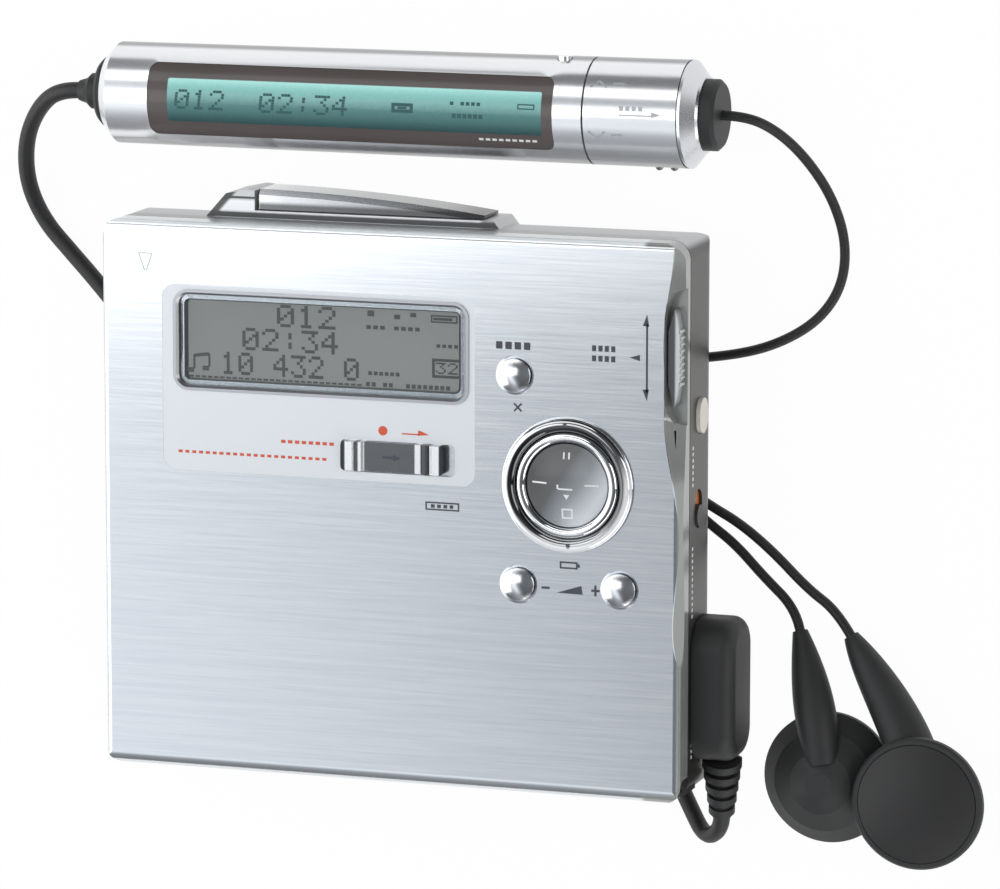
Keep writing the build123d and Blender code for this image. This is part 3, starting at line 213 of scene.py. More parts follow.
class Recipe(Tree):
    """One material under construction, with its Principled shader."""

    def __init__(self, name: str) -> None:
        """Starts a material with a Principled shader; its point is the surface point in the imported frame."""
        self.material = bpy.data.materials.new(name)
        self.material.use_nodes = True
        super().__init__(self.material.node_tree)
        self.shader = self.find("BSDF_PRINCIPLED")
        self.point = self.node("TexCoord", out="Object")

    def axes(self) -> tuple[Wire, Wire, Wire]:
        """The surface point's x, y and z in the player's frame, in millimetres."""
        x, y, z = self.point.split()
        return (x - PLACE.x) / MM, (y - PLACE.y) / MM, z / MM

    def noise(self, scale: float, detail: float = 2.0, where: Optional[Wire] = None) -> Wire:
        """A noise between 0 and 1 with so many features in a metre, read at the surface point or another."""
        return self.node("TexNoise", Vector=where or self.point, Scale=scale, Detail=detail)

    def grain(self, sizes: Triple, detail: float) -> Wire:
        """A noise whose features are so many millimetres long on each axis."""
        scale = tuple(1 / (size * MM) for size in sizes)
        return self.noise(1.0, detail, self.node("Mapping", Vector=self.point, Scale=scale))

    def mix(self, low: Any, high: Any, factor: Any) -> Wire:
        """A colour between two colours."""
        return self.node("Mix", {"data_type": "RGBA"}, Factor=factor, A=low, B=high)

    def bump(self, height: Wire, strength: float, distance: float) -> Wire:
        """A normal from a height in millimetres."""
        return self.node("Bump", Height=height, Strength=strength, Distance=distance * MM)

    def set(self, **sockets: Any) -> None:
        """Sets the shader's sockets by name, spaces written as underscores."""
        for key, value in sockets.items():
            self.plug(self.shader.inputs[key.replace("_", " ")], value)

    def base(self) -> Wire:
        """What feeds the shader's colour so far."""
        return Wire(self, self.shader.inputs["Base Color"].links[0].from_socket)

    def blend(self, factor: Wire, *shaders: Optional[Wire]) -> bpy.types.Material:
        """Ends the material in a mix of two shaders.

        Args:
            factor: the share of the second.
            shaders: the two, None standing for the Principled shader.

        Returns:
            The material.
        """
        own = Wire(self, self.shader.outputs[0])
        mixed = self.node("MixShader", None, factor, *(s or own for s in shaders))
        self.plug(self.find("OUTPUT_MATERIAL").inputs["Surface"], mixed)
        return self.material

    def oblong(self, x: Wire, y: Wire, mid: Pair, size: Pair, r: float) -> Wire:
        """Signed distance from a rounded rectangle, below 0 inside it.

        The distance is the length of the part of |p| - (half size - r) above 0, less r.
        """
        dx, dy = ((abs(p - m) - (s / 2 - r)).at_least(0.0) for p, m, s in zip((x, y), mid, size))
        return (dx * dx + dy * dy) ** 0.5 - r


# ---- objects
NODES: dict[str, bpy.types.Object] = {}


def linked(name: str, data: Any) -> bpy.types.Object:
    """Makes an object of a mesh, a curve, a lamp or a camera and links it to the scene."""
    made = bpy.data.objects.new(name, data)
    bpy.context.scene.collection.objects.link(made)
    return made


def stand(made: bpy.types.Object, x: Vector, y: Vector, at: Triple) -> None:
    """Stands an object at a point, its own X and Y along two unit vectors."""
    turn = Matrix((x, y, x.cross(y))).transposed().to_4x4()
    turn.translation = Vector(PLACE.metres(at))
    made.matrix_world = turn


def dress(made: bpy.types.Object, material: bpy.types.Material) -> bpy.types.Object:
    """Gives a new piece its one material."""
    made.data.materials.clear()
    made.data.materials.append(material)
    return made


# ---- finishes
@dataclass(frozen=True)
class Finish:
    """A surface with a fine grain: two close colours, a little gloss variation and a bump.

    The grain is a noise whose features are `grain` millimetres long on each axis.
    """

    name: str
    colour: Colour
    tint: Colour
    metallic: float = 0.0
    roughness: float = 0.5
    vary: float = 0.06
    grain: Triple = (0.4, 0.4, 0.4)
    bump: float = 0.1
    height: float = 0.01

    def recipe(self) -> Recipe:
        """Builds the material's tree.

        Returns:
            The recipe, so that a finish with more to it can go on from there.
        """
        made = Recipe(self.name)
        fine = made.grain(self.grain, 3.0)
        broad = made.noise(60.0, 2.0)
        made.set(
            Base_Color=made.mix(self.colour, self.tint, fine * 0.7 + broad * 0.3),
            Metallic=self.metallic,
            Roughness=self.roughness + (fine - 0.5) * (2 * self.vary),
            Normal=made.bump(fine, self.bump, self.height),
        )
        return made


@dataclass(frozen=True)
class Brushed(Finish):
    """Brushed aluminium: long fine streaks along X over a pale, slightly blue metal."""

    streak: float = 14.0
    fine: float = 0.16

    def recipe(self) -> Recipe:
        """Builds the streaks from three noises that are long in X and fine in Y and Z."""
        made = Recipe(self.name)
        thin, wide, hair = (made.grain((self.streak * run, self.fine * across, self.fine * across), detail)
                            for run, across, detail in ((1.0, 1.0, 2.0), (2.5, 5.0, 1.0), (0.4, 0.4, 1.0)))
        mask = (thin * 0.5 + wide * 0.3 + hair * 0.2).above(0.5, 0.17)
        made.set(
            Base_Color=made.mix(self.tint, self.colour, mask),
            Metallic=self.metallic,
            Roughness=self.roughness + (thin - 0.5) * (2 * self.vary),
            Normal=made.bump(thin * 0.6 + hair * 0.4, self.bump, self.height),
        )
        return made


@dataclass(frozen=True)
class Ink(Finish):
    """Print, etching and display segments: matt, with hardly any grain."""

    roughness: float = 0.6
    vary: float = 0.03
    grain: Triple = (0.1, 0.1, 0.1)
    bump: float = 0.05
    height: float = 0.002


def even(grain: float) -> Triple:
    """A grain of one size on all three axes."""
    return grain, grain, grain


class Shade(Enum):
    """The plain finishes, each a Finish.

    Their numbers are metallic, roughness, its variation, grain, bump strength and bump height.
    """

    LID = Brushed("lid_brushed", (0.80, 0.825, 0.85), (0.70, 0.73, 0.765), 0.92, 0.175, 0.04,
                  bump=0.07, height=0.003, streak=9.0, fine=0.11)
    PLATE = Finish("plate_satin", (0.69, 0.715, 0.74), (0.66, 0.685, 0.715), 0.55, 0.42, 0.03, even(0.25), 0.04, 0.003)
    CHROME = Finish("chrome", (0.86, 0.87, 0.89), (0.82, 0.83, 0.86), 1.0, 0.09, 0.03, even(1.5), 0.02, 0.002)
    BUTTON = Finish("button_chrome", (0.86, 0.87, 0.89), (0.82, 0.83, 0.86), 1.0, 0.20, 0.03, even(1.5), 0.02, 0.002)
    SATIN = Finish("satin_metal", (0.74, 0.75, 0.78), (0.68, 0.69, 0.72), 1.0, 0.28, 0.05, (3.0, 0.2, 0.2), 0.06, 0.003)
    BEZEL = Finish("bezel_metal", (0.46, 0.47, 0.49), (0.40, 0.41, 0.43), 0.9, 0.30, 0.05, (3.0, 0.2, 0.2), 0.05, 0.003)
    REMOTE = Finish("remote_silver", (0.90, 0.91, 0.93), (0.88, 0.89, 0.915), 0.85, 0.22, 0.01,
                    (4.0, 0.25, 0.25), 0.01, 0.001)
    REAR = Finish("rear_shell", (0.084, 0.082, 0.079), (0.070, 0.068, 0.066), 0.70, 0.38, 0.05, even(0.15), 0.10, 0.004)
    STEEL = Finish("steel", (0.56, 0.57, 0.58), (0.48, 0.49, 0.50), 1.0, 0.33, 0.07, (2.0, 0.15, 0.3), 0.08, 0.003)
    BRIGHT_STEEL = Finish("ground_steel", (0.70, 0.71, 0.72), (0.62, 0.63, 0.65), 1.0, 0.18, 0.05,
                          (0.15, 2.0, 0.15), 0.05, 0.002)
    DARK = Finish("dark_moulding", (0.030, 0.030, 0.033), (0.045, 0.045, 0.05), 0.0, 0.45, 0.06, even(0.2), 0.12, 0.006)
    CORD = Finish("cord_jacket", (0.012, 0.012, 0.013), (0.020, 0.020, 0.021), 0.0, 0.50, 0.08, even(0.35), 0.18, 0.01)
    MOULDED = Finish("moulded_black", (0.017, 0.0175, 0.018), (0.023, 0.0235, 0.024), 0.0, 0.55, 0.07,
                     even(0.18), 0.20, 0.01)
    GRILLE = Finish("bud_face", (0.009, 0.009, 0.0095), (0.022, 0.022, 0.0225), 0.0, 0.55, 0.08, even(0.22), 0.35, 0.02)
    CELL = Finish("cell_wrap", (0.07, 0.085, 0.13), (0.055, 0.065, 0.10), 0.3, 0.38, 0.05, even(0.5), 0.05, 0.004)
    CREAM = Finish("cream_key", (0.74, 0.72, 0.64), (0.68, 0.66, 0.58), 0.0, 0.32, 0.04, even(0.3), 0.05, 0.003)
    ORANGE = Finish("orange_mark", (0.62, 0.19, 0.05), (0.50, 0.14, 0.04), 0.0, 0.45, 0.04, even(0.3), 0.04, 0.003)
    BOARD = Finish("board_green", (0.022, 0.085, 0.045), (0.030, 0.105, 0.055), 0.0, 0.38, 0.05, even(0.6), 0.10, 0.004)
    MARK = Ink("printed_grey", (0.045, 0.05, 0.065), (0.06, 0.065, 0.08))
    RED_MARK = Ink("printed_red", (0.62, 0.10, 0.045), (0.55, 0.08, 0.035))
    PALE_MARK = Ink("etched_pale", (0.78, 0.79, 0.80), (0.70, 0.71, 0.72), 0.2, 0.5)
    ETCHED = Ink("etched_grey", (0.40, 0.42, 0.44), (0.50, 0.52, 0.54), 0.6, 0.5)
    SEGMENT = Ink("display_segment", (0.095, 0.095, 0.092), (0.11, 0.11, 0.106), 0.0, 0.7, 0.02, even(0.3), 0.0, 0.001)
    TEAL_SEGMENT = Ink("remote_segment", (0.018, 0.085, 0.085), (0.022, 0.10, 0.10), 0.0, 0.6, 0.02,
                       even(0.3), 0.0, 0.001)


class Paint:
    """Makes each finish once and hands it out."""

    made: dict[Shade, bpy.types.Material] = {}

    @classmethod
    def of(cls, shade: Shade) -> bpy.types.Material:
        """The material of a named finish, made on first use."""
        if shade not in cls.made:
            cls.made[shade] = shade.value.recipe().material
        return cls.made[shade]


def paint_node(node: str, material: bpy.types.Material) -> None:
    """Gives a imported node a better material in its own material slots."""
    for slot in NODES[node].material_slots:
        slot.material = material
    LOG.info("%s: %s", node, material.name)


# ---- studio
@dataclass(frozen=True)
class Softbox:
    """A softbox at a point that faces another, its face as bright as its radiance, where 1 is white.

    Its width runs along `across`, and `mirrored` says whether glossy surfaces show it.
    """

    name: str
    at: Triple
    aim: Triple
    size: Pair
    radiance: float
    across: Triple
    mirrored: bool = True

    def build(self) -> None:
        """Makes the lamp; its power grows with its area, so that its face keeps its radiance."""
        data = bpy.data.lights.new(self.name, "AREA")
        data.shape = "RECTANGLE"
        data.size, data.size_y = self.size[0] * MM, self.size[1] * MM
        data.energy = math.pi * data.size * data.size_y * self.radiance
        back = (Vector(self.at) - Vector(self.aim)).normalized()
        side = Vector(self.across)
        side = (side - back * side.dot(back)).normalized()
        box = linked(self.name, data)
        stand(box, side, back.cross(side), self.at)
        box.visible_camera, box.visible_glossy = False, self.mirrored


@dataclass
class Studio:
    """The camera, the lamps, the world and the pale table."""

    eye: Triple = (253.39, 139.95, 735.77)
    right: Triple = (0.9489, 0.0011, -0.3156)
    up: Triple = (-0.0549, 0.9854, -0.1613)
    lens: float = 215.3
    table_half: float = 6000.0
    table_top: float = -0.02
    sky: tuple[tuple[float, Colour], ...] = (
        (0.0, (0.10, 0.105, 0.11)), (0.45, (0.15, 0.155, 0.165)), (0.70, (0.22, 0.23, 0.245)),
        (0.84, (0.56, 0.58, 0.61)), (1.0, (0.70, 0.74, 0.79)))
    fade: tuple[Pair, ...] = ((0.0, 0.9), (0.20, 1.85), (0.262, 1.72), (0.278, 1.26), (0.30, 0.92),
                              (0.317, 0.47), (0.34, 0.34), (0.42, 0.16), (1.0, 0.30))
    boxes: tuple[Softbox, ...] = (
        Softbox("key_softbox", (-130.0, 61.5, 390.0), (0.0, 10.0, 0.0), (270.0, 170.0), 1.5, (1.0, 0.05, 0.0)),
        Softbox("left_strip", (-430.0, -20.0, 240.0), (0.0, 0.0, 0.0), (620.0, 380.0), 2.0, (0.0, -1.0, 0.0)),
        Softbox("right_softbox", (340.0, -440.0, 250.0), (10.0, 0.0, 0.0), (760.0, 300.0), 2.2, (1.0, 0.75, 0.0)),
        Softbox("soft_fill", (420.0, 160.0, 1000.0), (0.0, 0.0, 0.0), (620.0, 620.0), 1.9, (1.0, 0.0, 0.0), False),
        Softbox("rear_softbox", (-170.0, 430.0, 380.0), (0.0, 50.0, 10.0), (640.0, 200.0), 1.7, (1.0, 0.0, 0.0)),
        Softbox("right_fill", (820.0, 120.0, 560.0), (0.0, 0.0, 0.0), (520.0, 420.0), 2.6, (0.0, 1.0, 0.0)))

    def camera(self) -> None:
        """Stands the camera above the set, its axes as given."""
        data = bpy.data.cameras.new("studio_camera")
        data.lens, data.sensor_width, data.sensor_fit = self.lens, 36.0, "HORIZONTAL"
        data.clip_start, data.clip_end = 0.01, 50.0
        x, y = Vector(self.right).normalized(), Vector(self.up)
        eye = linked("studio_camera", data)
        stand(eye, x, (y - x * y.dot(x)).normalized(), self.eye)
        bpy.context.scene.camera = eye

    def world(self) -> None:
        """A surround that is pale overhead, darkens towards the horizon and fades from left to right.

        The colour comes from the direction's z, its strength from the direction's x and, below, a little of y.
        """
        world = bpy.data.worlds.new("studio_surround")
        world.use_nodes = True
        tree = Tree(world.node_tree)
        x, y, z = tree.node("TexCoord", out="Generated").split()
        back = tree.find("BACKGROUND")
        grey = [(share, (level,) * 3) for share, level in self.fade]
        across = (x + y.at_most(-0.08) * 0.5) * 0.5 + 0.5
        tree.plug(back.inputs["Color"], z.ramp(*self.sky))
        tree.plug(back.inputs["Strength"], across.ramp(*grey))
        bpy.context.scene.world = world

    def table(self) -> None:
        """A wide pale table, white to the camera and to mirrors, with a soft shadow."""
        made = Recipe("pale_table")
        made.set(Base_Color=(0.86, 0.86, 0.86), Roughness=0.9 + made.noise(40.0) * 0.05)
        glow = made.node("Emission", Color=(1.0, 1.0, 1.0), Strength=1.0)
        seen = [made.node("LightPath", out=f"Is {ray} Ray") for ray in ("Camera", "Glossy", "Transmission")]
        material = made.blend((seen[0] + seen[1] + seen[2]).at_most(1.0) * 0.97, None, glow)
        half, top = self.table_half, self.table_top
        mesh = bpy.data.meshes.new("pale_table")
        corners = [(-half, -half, top), (half, -half, top), (half, half, top), (-half, half, top)]
        mesh.from_pydata(PLACE.metres(corners), [], [(0, 1, 2, 3)])
        dress(linked("pale_table", mesh), material)

    def build(self) -> None:
        """Sets the stage."""
        self.camera()
        self.world()
        self.table()
        for box in self.boxes:
            box.build()
        bpy.context.scene.view_settings.view_transform = "Standard"


# ---- cords
Route = list[Triple]


def arm(middle: Pair, start: float, sweep: float, r0: float, r1: float, height: float, count: int) -> Route:
    """Points of a flat spiral: the radius changes evenly with the angle.

    Args:
        middle: the coil's centre.
        start: the first angle in degrees.
        sweep: how far it turns, anticlockwise above 0.
        r0: the first radius.
        r1: the last radius.
        height: above the table.
        count: how many points.

    Returns:
        The points, one after the other.
    """
    turn = np.radians(start + sweep * np.linspace(0, 1, count))
    r = np.linspace(r0, r1, count)
    x, y = middle[0] + r * np.cos(turn), middle[1] + r * np.sin(turn)
    return [tuple(p) for p in np.stack([x, y, np.full(count, height)], axis=1).tolist()]


def turn_back(middle: Pair, angle: float, r: float, height: float) -> Route:
    """Points of the S through a coil's centre: two half circles of radius r, bent opposite ways."""
    u = np.array((math.cos(math.radians(angle)), math.sin(math.radians(angle)))) * r
    first = arm(tuple(np.array(middle) + u), angle, 180, r, r, height, 8)
    second = arm(tuple(np.array(middle) - u), angle, -180, r, r, height, 8)
    return first[1:-1] + [(*middle, height)] + second[1:-1]


@dataclass
class Cord:
    """One free cord: a smooth spline with the route's points as its control points."""

    name: str
    route: Route
    thick: float
    length: float
    stands_for: tuple[str, ...]
    far_end: str
    with_pieces: tuple[str, ...] = ()

    def build(self) -> None:
        data = bpy.data.curves.new(self.name, "CURVE")
        data.dimensions = "3D"
        data.bevel_depth, data.bevel_resolution, data.use_fill_caps = self.thick / 2 * MM, 5, True
        data.resolution_u = data.render_resolution_u = 10
        spline = data.splines.new("NURBS")
        spline.points.add(len(self.route) - 1)
        place = PLACE.metres(self.route)
        spline.points.foreach_set("co", np.concatenate([place, np.ones((len(place), 1))], axis=1).ravel())
        spline.order_u = 3
        spline.use_endpoint_u = True
        made = dress(linked(self.name, data), Paint.of(Shade.CORD))
        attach(made, "rear_case")
        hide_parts(*self.stands_for)
        self.thick * MM
        [NODES[n] for n in self.with_pieces]
        LOG.info("%s: %d points", self.name, len(self.route))


@dataclass
class Leads:
    """The remote's lead, the earphones' cord and its two branches."""

    lead_h: float = 1.1
    thin_h: float = 0.65
    lead_coil: Pair = (-14.5, 10.5)
    thin_coil: Pair = (19.5, -16.5)
    lead_length: float = 600.0
    thin_length: float = 560.0
    lead_d: float = 2.2
    thin_d: float = 1.3

    def lead(self) -> Cord:
        """From the remote's boot, down and under the player, round its coil, and out to the plug."""
        h = self.lead_h
        route = [(-46.3, 51.7, 9.4), (-49.4, 51.7, 9.4), (-53.2, 48.9, 7.4), (-56.2, 44.2, 4.7), (-57.0, 38.3, 2.5),
                 (-55.2, 33.0, h), (-51.3, 28.9, h), (-47.2, 24.6, h), (-41.0, 17.5, h), (-38.5, 9.0, h),
                 (-35.5, 3.0, h)]
        route += arm(self.lead_coil, 215, 663, 21.67, 13.2, h, 30)
        route += turn_back(self.lead_coil, 158, 6.6, h)
        route += arm(self.lead_coil, 338, -743, 13.2, 22.7, h, 34)
        route += [(-3.6, -17.8, h), (-1.6, -25.6, h), (4.8, -31.4, h), (13.2, -34.7, h), (22.4, -35.0, h),
                  (29.0, -35.3, h), (33.6, -36.6, h), (35.4, -40.2, 1.3), (38.3, -44.3, 3.2), (41.28, -42.26, 5.86),
                  (41.5, -40.2, 6.6)]
        return Cord("remote_lead", route, self.lead_d, self.lead_length,
                    ("lead_to_remote", "lead_to_plug", "lead_coil"), "plug", ("remote_plug", "lead_boot"))

    def thin(self) -> Cord:
        """From the earphones' plug, round the right and under the player, to the splitter."""
        h = self.thin_h
        route = [(41.7, 51.7, 9.4), (44.9, 51.7, 9.4), (48.2, 49.7, 6.9), (51.3, 46.1, 4.3), (54.2, 41.0, 2.1),
                 (55.8, 35.1, h), (55.4, 29.3, h), (52.3, 24.6, h), (47.0, 21.3, h), (41.0, 19.5, h), (32.0, 18.4, h),
                 (23.0, 15.8, h), (15.0, 10.2, h), (10.6, 2.6, h), (7.5, -3.0, h), (4.5, -8.0, h)]
        route += arm(self.thin_coil, 170, 1093, 16.3, 7.8, h, 46)
        route += turn_back(self.thin_coil, 183, 3.9, h)
        route += arm(self.thin_coil, 3, -982, 7.8, 15.44, h, 42)
        route += [(20.0, 1.4, h), (23.2, 1.7, h)]
        return Cord("earphone_lead", route, self.thin_d, self.thin_length,
                    ("earphone_cord", "earphone_cord_end", "earphone_coil"), "fitting",
                    ("cord_splitter", "earphone_plug"))

    def branches(self) -> list[Cord]:
        """From the splitter out from under the player and into the two stems."""
        h = self.thin_h
        right = [(29.6, 2.35, h), (33.2, 2.35, h), (38.0, -0.5, h), (42.0, -2.6, h), (46.4, -6.0, h), (51.2, -10.7, h),
                 (55.15, -13.24, 1.02), (57.28, -16.3, 1.6)]
        left = [(29.6, 1.05, h), (33.0, 1.05, h), (37.6, -2.7, h), (41.4, -5.4, h), (45.2, -9.4, h),
                (49.63, -13.4, 0.8), (50.45, -16.1, 1.6)]
        return [Cord("right_branch", right, self.thin_d, 34.3, ("branch_right",), "object"),
                Cord("left_branch", left, self.thin_d, 30.0, ("branch_left",), "object")]

    def build(self) -> None:
        """Draws every cord."""
        for cord in [self.lead(), self.thin(), *self.branches()]:
            cord.build()


# ---- marks
DIGITS: dict[str, tuple[int, ...]] = {
    "0": (14, 17, 19, 21, 25, 17, 14), "1": (4, 12, 4, 4, 4, 4, 14), "2": (14, 17, 1, 2, 4, 8, 31),
    "3": (31, 2, 4, 2, 1, 17, 14), "4": (2, 6, 10, 18, 31, 2, 2), ":": (0, 4, 4, 0, 4, 4, 0),
    "-": (0, 0, 0, 14, 0, 0, 0), " ": (0, 0, 0, 0, 0, 0, 0),
}
PlaceOn = Callable[[np.ndarray, np.ndarray, np.ndarray], np.ndarray]
Outlines = list[np.ndarray]


def flat_on(height: float) -> PlaceOn:
    """Puts marks on a level face."""
    return lambda x, y, h: np.stack([x, y, height + h], axis=-1)


def prisms(name: str, outlines: np.ndarray, thick: float, place: PlaceOn) -> bpy.types.Mesh:
    """Many upright prisms in one mesh, each an outline carried up from the face that it lies on.

    Args:
        name: the mesh's name.
        outlines: points (count, corners, 2), each outline anticlockwise.
        thick: how far they are carried.
        place: puts x, y and height on that face.

    Returns:
        The mesh, every prism closed and its faces outwards.
    """
    count, corners = outlines.shape[:2]
    x, y = outlines[..., 0], outlines[..., 1]
    rings = [place(x, y, np.full_like(x, h)) for h in (0.0, thick)]
    points = np.stack(rings, axis=1).reshape(-1, 3)
    base = (np.arange(count) * 2 * corners)[:, None]
    ring = np.arange(corners)
    after = (ring + 1) % corners
    sides = np.stack([ring, after, after + corners, ring + corners], axis=1)
    walls = (base[:, :, None] + sides[None]).reshape(-1, 4).tolist()
    lids = (base + ring[::-1]).tolist() + (base + ring + corners).tolist()
    mesh = bpy.data.meshes.new(name)
    mesh.from_pydata(PLACE.metres(points), [], walls + lids)
    work = bmesh.new()
    work.from_mesh(mesh)
    bmesh.ops.remove_doubles(work, verts=work.verts, dist=MERGE)
    bmesh.ops.dissolve_degenerate(work, edges=work.edges, dist=MERGE)
    bmesh.ops.recalc_face_normals(work, faces=work.faces)
    work.to_mesh(mesh)
    work.free()
    mesh.shade_smooth()
    mesh.set_sharp_from_angle(angle=math.radians(SHARP))
    return mesh


def tile(mid: Pair, size: Pair, turn: float = 0.0) -> np.ndarray:
    """A rectangle's four corners about its middle, turned by some degrees."""
    c, s = math.cos(math.radians(turn)), math.sin(math.radians(turn))
    box = np.array([(-1, -1), (1, -1), (1, 1), (-1, 1)]) * np.array(size) / 2
    return box @ np.array([[c, s], [-s, c]]) + np.array(mid)


def stroke(start: Pair, end: Pair, width: float) -> np.ndarray:
    """A straight stroke's four corners."""
    a, b = np.array(start), np.array(end)
    mid, run = (a + b) / 2, b - a
    return tile(tuple(mid), (float(np.hypot(*run)), width), math.degrees(math.atan2(run[1], run[0])))


def bends(width: float, *points: Pair) -> Outlines:
    """Straight strokes of one width from each point to the next."""
    return [stroke(a, b, width) for a, b in zip(points, points[1:])]


def wedge(tip: Pair, towards: Pair, width: float) -> np.ndarray:
    """A triangle with its tip at one point and the middle of its base at another, as four corners."""
    a, b = np.array(tip), np.array(towards)
    side = np.array([-(b - a)[1], (b - a)[0]]) / np.linalg.norm(b - a) * width / 2
    return np.array([a, b - side, b, b + side])


def disc(mid: Pair, r: float, corners: int = 20) -> np.ndarray:
    """A round dot's outline."""
    turn = np.linspace(0, 2 * math.pi, corners, endpoint=False)
    return np.stack([mid[0] + r * np.cos(turn), mid[1] + r * np.sin(turn)], axis=1)


def rounded(mid: Pair, size: Pair, r: float, arc: int = 10) -> np.ndarray:
    """A rounded rectangle's outline: four quarter circles of radius r, of arc points each, anticlockwise."""
    turn = (np.arange(4)[:, None] * (math.pi / 2) + np.linspace(0, math.pi / 2, arc)).ravel()
    corner = np.repeat([(1, 1), (-1, 1), (-1, -1), (1, -1)], arc, axis=0) * (np.array(size) / 2 - r)
    return np.array(mid) + corner + r * np.stack([np.cos(turn), np.sin(turn)], axis=1)


def row(x: float, y: float, step: float, size: Pair, places: Iterable[int]) -> Outlines:
    """Equal dashes in a row, at whole steps to the right of x."""
    return [tile((x + k * step, y), size) for k in places]


def frame_strokes(mid: Pair, size: Pair, width: float) -> Outlines:
    """The four sides of a hollow box that meet without lying in each other."""
    w, h = size[0] / 2 - width / 2, size[1] / 2 - width / 2
    x, y = mid
    return ([tile((x, y + k * h), (size[0], width)) for k in (1, -1)]
            + [tile((x + k * w, y), (width, size[1] - 2 * width)) for k in (-1, 1)])


def digit_tiles(text: str, corner: Pair, pitch: Pair, fill: float = 0.97, slant: float = 0.0) -> Outlines:
    """Digits made of square dots, five wide and seven high.

    Args:
        text: digits and colons.
        corner: the upper left of the first digit.
        pitch: from dot to dot across and down.
        fill: how much of its pitch a dot takes.
        slant: how far the top leans to the right for each unit of height.

    Returns:
        One outline for each dot.
    """
    dots = []
    for place, sign in enumerate(text):
        rows = np.array(DIGITS[sign])[:, None]
        row, column = np.nonzero(rows >> np.arange(4, -1, -1) & 1)
        x = corner[0] + (place * 6 + column + 0.5) * pitch[0] - row * pitch[1] * slant
        y = corner[1] - (row + 0.5) * pitch[1]
        dots += [tile((a, b), (pitch[0] * fill, pitch[1] * fill)) for a, b in zip(x, y)]
    return dots


def printed(name: str, outlines: Outlines, shade: Shade, body: str, place: PlaceOn,
            thick: float = 0.03) -> None:
    """Makes marks of one finish, and lets them ride on a body.

    Args:
        name: the object's name.
        outlines: outlines that all have as many corners.
        shade: their finish.
        body: what they ride on.
        place: the face that they lie on.
        thick: how far they stand proud.
    """
    made = dress(linked(name, prisms(name, np.stack(outlines), thick, place)), Paint.of(shade))
    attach(made, body)
    LOG.info("%s: %d marks", name, len(outlines))


# ---- lid
@dataclass
class Display:
    """The main display: a grey panel with square-dot digits under a clear window."""

    middle: Pair = (-9.2, 20.9)
    size: Pair = (39.2, 11.9)
    face: float = 18.4
    cells: float = 2.6  # in a millimetre
    dot: float = 0.42
    lines: tuple[tuple[str, Pair, float], ...] = (
        ("012", (-15.5, 25.95), 0.475), ("02:34", (-20.3, 22.7), 0.455), ("10 432 0", (-23.3, 19.4), 0.405))

    def panel(self) -> bpy.types.Material:
        """Mid grey, painted a little lighter towards the lower right as painted light, with a fine cell pattern."""
        made = Recipe("display_grey")
        x, y, _ = made.axes()
        across = (x - (self.middle[0] - self.size[0] / 2)) / self.size[0]
        down = ((self.middle[1] + self.size[1] / 2) - y) / self.size[1]
        # painted light: the panel is painted lighter towards the lower right
        painted_light = (across * 0.45 + down * 0.55).at_least(0.0).at_most(1.0)
        cells = made.grain(even(1 / self.cells), 1.0)
        colour = made.mix((0.41, 0.413, 0.40), (0.53, 0.53, 0.51), painted_light * 0.85 + cells * 0.15)
        made.set(Base_Color=colour, Roughness=0.55 + cells * 0.1, Specular_IOR_Level=0.3)
        return made.material

    def glass(self) -> bpy.types.Material:
        """Clear sheet: it lets a tint through and mirrors more at a glance than straight on."""
        made = Recipe("display_glass")
        made.set(Base_Color=(0.9, 0.9, 0.92), Metallic=1.0, Roughness=made.noise(220.0) * 0.03 + 0.03)
        clear = made.node("BsdfTransparent", Color=(0.94, 0.95, 0.95))
        return made.blend((made.node("Fresnel", IOR=1.45) * 0.8 + 0.015).at_most(0.9), clear, None)

    def figures(self) -> None:
        """The digits, the note, the row of blocks and the small signs at the right."""
        dots = [d for text, corner, across in self.lines for d in digit_tiles(text, corner, (across, self.dot))]
        dots += [tile((x, 15.98), (0.62, 0.26)) for x in np.arange(-27.4, -4.0, 0.86)]
        dots += [stroke((-27.0, 17.0), (-27.0, 18.8), 0.28), stroke((-24.9, 17.3), (-24.9, 19.0), 0.28),
                 stroke((-27.0, 18.7), (-24.9, 19.0), 0.45), tile((-27.5, 16.8), (0.9, 0.62)),
                 tile((-25.4, 17.1), (0.9, 0.62))]
        signs = [tile((-2.6, 25.4), (0.9, 0.75)), tile((1.0, 25.1), (0.8, 0.6)), tile((3.2, 25.45), (0.8, 0.55)),
                 *frame_strokes((7.4, 25.1), (3.6, 1.0), 0.2), tile((7.2, 25.1), (2.6, 0.35))]
        signs += row(-2.9, 23.6, 0.95, (0.62, 0.5), (0, 1, 2, 4, 5, 6, 7)) + row(6.6, 21.6, 0.8, (0.5, 0.45), range(4))
        signs += frame_strokes((7.75, 18.7), (4.0, 2.5), 0.36) + digit_tiles("32", (6.25, 19.45), (0.27, 0.21))
        signs += row(-2.7, 17.6, 0.75, (0.5, 0.5), range(6))
        signs += row(-3.0, 16.15, 0.78, (0.52, 0.55), (0, 1, 3, 4, *range(7, 15)))
        for name, marks in (("display_digits", dots), ("display_signs", signs)):
            printed(name, marks, Shade.SEGMENT, "lid", flat_on(self.face), 0.04)

    def build(self) -> None:
        """Paints the module and lays the figures on it."""
        paint_node("lcd_module", self.panel())
        paint_node("display_window", self.glass())
        self.figures()


